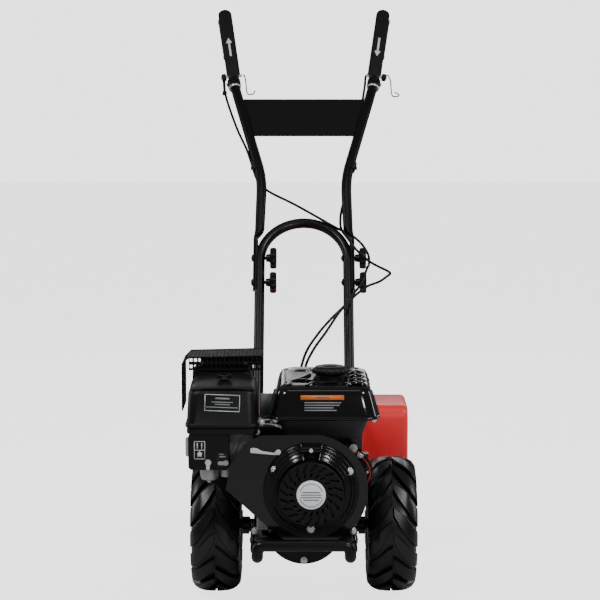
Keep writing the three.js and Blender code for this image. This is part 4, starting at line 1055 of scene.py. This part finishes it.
arch = [(LEG_X, t, 0) for t in (-500, -300, -100)]
for i in range(41):
    turn = pi * i / 40
    arch.append((LEG_X * cos(turn), LEG_X * sin(turn) - ARCH_DROP, 0))
arch += [(-LEG_X, t, 0) for t in (-100, -300, -500)]
fixed("handle_arch", "tube",
      sweep([on_slope(p) for p in arch], LEG_R + 0.4, 28, up=SLOPE_UP),
      replaces=("handle_frame",))
pads, flats = [], []
for s in (-1, 1):
    pads.append(sweep([on_slope((s * LEG_X, t, 0)) for t in (-455, -395)], 13.4, 28, up=SLOPE_UP))
    corners = [on_slope((s * x, t, n)) for t in (-84, 44)
               for x, n in ((104, -9), (111.2, -9), (111.2, 9), (104, 9))]
    flats.append(loft([corners[:4], corners[4:]]))
fixed("handle_pads", "frame", *pads, bevel=0.8)
fixed("handle_flats", "tube", *flats, bevel=0.8)

# The handlebar is flat where it is clamped: along, half widths across and upright, x.
FLAT = [(-82, 2, 10, 113.3), (-79, 2, 14, 113.3), (-70, 2, 16, 113.3), (40, 2, 16, 113.3),
        (46, 2.6, 15.7, 112.7), (52, 4.2, 14.8, 111), (58, 6.3, 13.6, 108), (64, 8.6, 12.4, 104.8),
        (70, 10.3, 11.4, 102.3), (76, 11, 11, 101)]
BEND = (97, 212, 0)
GRIP_BASE = (168, 513.6, -57.9)
TUBE_END = (197.5, 732.3, -96.5)
bend = round_corners([(101, 76, 0), BEND, GRIP_BASE, TUBE_END], 45, 10)[1:]
widths = [(a, b) for _, a, b, _ in FLAT] + [(LEG_R + 0.8, LEG_R + 0.8)] * len(bend)
for side, s in SIDES:
    line = [(s * x, t, 0) for t, _, _, x in FLAT] + [(s * p[0], p[1], p[2]) for p in bend]
    bar = sweep([on_slope(p) for p in line], LEG_R, 28, up=SLOPE_UP, squeeze=lambda i: widths[i])
    piece(f"handlebar_{side}", "handlebar", "tube", bar, angle=50,
          replaces=(f"handlebar_tube_{side}",))
    clip = sweep([on_slope((s * 106, 238, -5)), on_slope((s * 111.5, 262, -10))], 13, 24,
                 up=SLOPE_UP)
    x, y, z = on_slope((s * 121, 246, -8))
    tab = box(x - 3, x + 3, y - 9, y + 9, z - 4, z + 4)
    piece(f"cable_clip_{side}", "handlebar", "matte", clip, tab, bevel=1)

# Clamp knobs, left and right: face, neck, head and shank from and to, and the cup's height.
KNOBS = {-1: ((-77, -62), (-86.2, -76), (-118, -70), -115.4, 4.4),
         1: ((126, 141), (115.8, 127), (84, 128), 88.6, 3.6)}
for side, s in SIDES:
    (near, far), (neck_start, neck_end), shank, cup_start, cup_height = KNOBS[s]
    for height, along in (("upper", 0), ("lower", -63)):
        centre = on_slope((0, along, 0))[1:]
        grip = revolve([(10, near), (21, near), (23.6, near + 1.6), (24.5, near + 4),
                        (24.5, far - 4), (23.6, far - 1.6), (21, far), (10, far), (6, far - 1)],
                       "x", centre, 84, lobes=(7, 2.6))
        cone = revolve([(8, neck_start), (8.6, neck_start + 2), (10, neck_end)], "x", centre, 36)
        knob = f"knob_{height}_{side}"
        piece(f"{knob}_grip", knob, "matte", grip, cone, angle=50,
              replaces=(f"clamp_{knob}",))
        piece(f"{knob}_bolt", knob, "frame", dome((cup_start, *centre), "-x", 8.6, cup_height),
              rod(4, *shank, "x", centre, 20))


# ---------- grips, lever perches and clutch levers ----------

def grip_frame(s):
    """Start of a grip, its directions across, along and above, and its length."""
    base = Vector(on_slope((s * GRIP_BASE[0], *GRIP_BASE[1:])))
    along = (Vector(on_slope((s * TUBE_END[0], *TUBE_END[1:]))) - base)
    length = along.length
    along.normalize()
    up = Vector(SLOPE_UP)
    up = (up - along * up.dot(along)).normalized()
    return base, along.cross(up), along, up, length


LEVER_PIVOT, LEVER_LIFT = (4, 26), radians(10)
CABLE_TOP = (-191, 756, 1027)
ARROW_MIDDLE, ARROW_HALF = 84, 27
for side, s in SIDES:
    base, across, along, up, length = grip_frame(s)

    def on_grip(p, base=base, across=across, along=along, up=up):
        return tuple(base + across * p[0] + along * p[1] + up * p[2])

    ribbed = [(11.6, 96), (15.6, 96), (16.8, 97.2), (16.8, 99.4), (15.6, 101)]
    a = 108
    while a < length - 16:
        ribbed += [(15.2, a), (15.9, a + 2), (15.9, a + 5), (15.2, a + 7)]
        a += 9
    ribbed += [(15.2, length - 8), (16.6, length - 4), (16.6, length), (13, length + 5.4),
               (8, length + 6.6), (0, length + 6.8)]
    sleeve = moved(revolve(ribbed, "y", (0, 0), 40), on_grip)
    piece(f"grip_{side}_sleeve", "handlebar", "grip", sleeve, replaces=(f"grip_{side}",), angle=40)
    if s < 0:
        x, y, z = CABLE_TOP
        piece("cable_adjuster", "handlebar", "matte",
              sweep([on_grip((-24, *LEVER_PIVOT)), CABLE_TOP], 3.4, 16),
              rod(5.4, z - 8, z + 2, "z", (x, y), 6, 0.6))
    hub, nut = ((-29, -18), (-31, -28.5)) if s < 0 else ((18, 29), (28.5, 31))
    perch = [revolve([(11.2, -6), (15.4, -6), (16, -5), (16, 14), (15.4, 15), (11.2, 15)],
                     "y", (0, 0), 36, loop=True),
             box(-6, 6, -3, 13, 10, 31), rod(9, *hub, "x", LEVER_PIVOT, 28, 1.6)]
    piece(f"perch_{side}", "handlebar", "matte", *[moved(p, on_grip) for p in perch], bevel=0.8)
    bright = [revolve([(11.3, -12), (14.4, -12), (15, -11), (15, -8), (14.4, -7), (11.3, -7)],
                      "y", (0, 0), 40, loop=True),
              rod(3.4, -19.6, 19.6, "x", LEVER_PIVOT, 20), rod(4.6, *nut, "x", LEVER_PIVOT, 6, 0.4),
              bolt((s * 14.6, 6, -2), "x" if s > 0 else "-x", 4.2, 3.4, 1)]
    piece(f"perch_{side}_metal", "handlebar", "zinc", *[moved(p, on_grip) for p in bright],
          angle=40)

    def on_lever(p, place=on_grip):
        y = LEVER_PIVOT[0] + p[1] * cos(LEVER_LIFT) - p[2] * sin(LEVER_LIFT)
        z = LEVER_PIVOT[1] + p[1] * sin(LEVER_LIFT) + p[2] * cos(LEVER_LIFT)
        return place((p[0], y, z))

    rings = []
    for z, d in ((-5, 3.2), (-4.2, 1.4), (-2.4, 0.3), (0, 0), (2, 0.3), (3.9, 1.6), (4.8, 3.6),
                 (5, 6)):
        outline = round_rect(-16.5 + d, 16.5 - d, -9 + d, 199 - d, 16 - d, 10)
        rings.append([(u, v, z) for u, v in outline])
    name, aim = ("forward", 1) if s < 0 else ("reverse", -1)
    piece(f"lever_{name}_body", f"{name}_lever", "matte", moved(loft(rings), on_lever), angle=50,
          replaces=(f"{name}_lever",))
    tail, neck, tip = (ARROW_MIDDLE + aim * v for v in (-ARROW_HALF, 12, ARROW_HALF))
    arrow = [(-2.4, tail), (2.4, tail), (2.4, neck), (7.5, neck), (0, tip), (-7.5, neck),
             (-2.4, neck)]
    piece(f"lever_{name}_arrow", f"{name}_lever", "white",
          moved(([(u, v, 5.25) for u, v in arrow], [tuple(range(7))]), on_lever))


# ---------- panel, springs and clutch cables ----------

dress("matte", "handle_panel", bevel=0.8)
LEVER_SPRINGS = {
    "left": [(-148.5, 775, 1068), (-144, 773, 1067), (-141, 770, 1056), (-138, 768, 1026),
             (-134, 767, 1021), (-122, 767, 1022), (-118, 766, 1030)],
    "right": [(198, 775, 1068), (204, 773, 1067), (209, 770, 1055), (212, 768, 1022),
              (215, 767, 1016), (228, 767, 1016), (230, 766, 1021), (219, 765, 1026)],
}
for side, points in LEVER_SPRINGS.items():
    piece(f"spring_{side}", "handlebar", "spring", sweep(round_corners(points, 2, 4), 1.5, 12),
          replaces=(f"lever_spring_{side}",))

CABLE_ROUTES = {
    "forward": [
        CABLE_TOP, (-180, 722, 994), (-157, 664, 938), (-134, 617, 893), (-120, 583, 856),
        (-112, 572, 832), (-100, 564, 814), (-82, 549, 800), (-23, 508, 773), (34, 469, 744),
        (69, 470, 724), (88, 488, 713), (106, 492, 705), (119, 482, 696), (133, 473, 683),
        (146, 455, 663), (148, 434, 652), (147, 411, 642), (142, 383, 637), (128, 350, 605),
        (112, 341, 586), (94, 335, 562), (60, 282, 535), (30, 202, 511), (2, 112, 478),
        (-11, 62, 430), (-14, 32, 370), (-14, 23, 300), (-14, 23, 241.4),
    ],
    "reverse": [
        (157, 774, 1069), (150.5, 771, 1066), (147, 761, 1042), (141.5, 747, 1009),
        (134, 717, 977), (122, 684, 946), (118, 656, 912), (114, 630, 884), (107, 598, 853),
        (101, 571, 826), (99, 553, 800), (88, 524, 762), (84, 499, 741), (86, 457, 718),
        (102, 431, 697), (119, 405, 676), (134, 396, 663), (147, 391, 652), (169, 385, 640),
        (186, 382, 632), (194, 379, 626), (186, 375, 619), (169, 363, 609), (141, 344, 600),
        (110, 318, 579), (83, 294, 554), (48, 230, 512), (19, 158, 481), (2, 95, 450),
        (2, 52, 410), (4, 28, 350), (4, 23, 290), (4, 23, 241.4),
    ],
}
# Points at the handlebar's end of a cable, from below the arch to above the clamps.
BEND_START, BEND_END = on_slope((0, 150, 0)), on_slope((0, -34, 0))
for name, route in CABLE_ROUTES.items():
    piece(f"{name}_clutch_cable", None, "matte", sweep(flowing(route), 3, 14),
          replaces=(f"{name}_cable",), across=("handlebar", "chassis", BEND_START, BEND_END))
fixed("cable_stops", "zinc", *[rod(5, 241, 262, "z", (x, 23), 20, 1) for x in (-14, 4)])
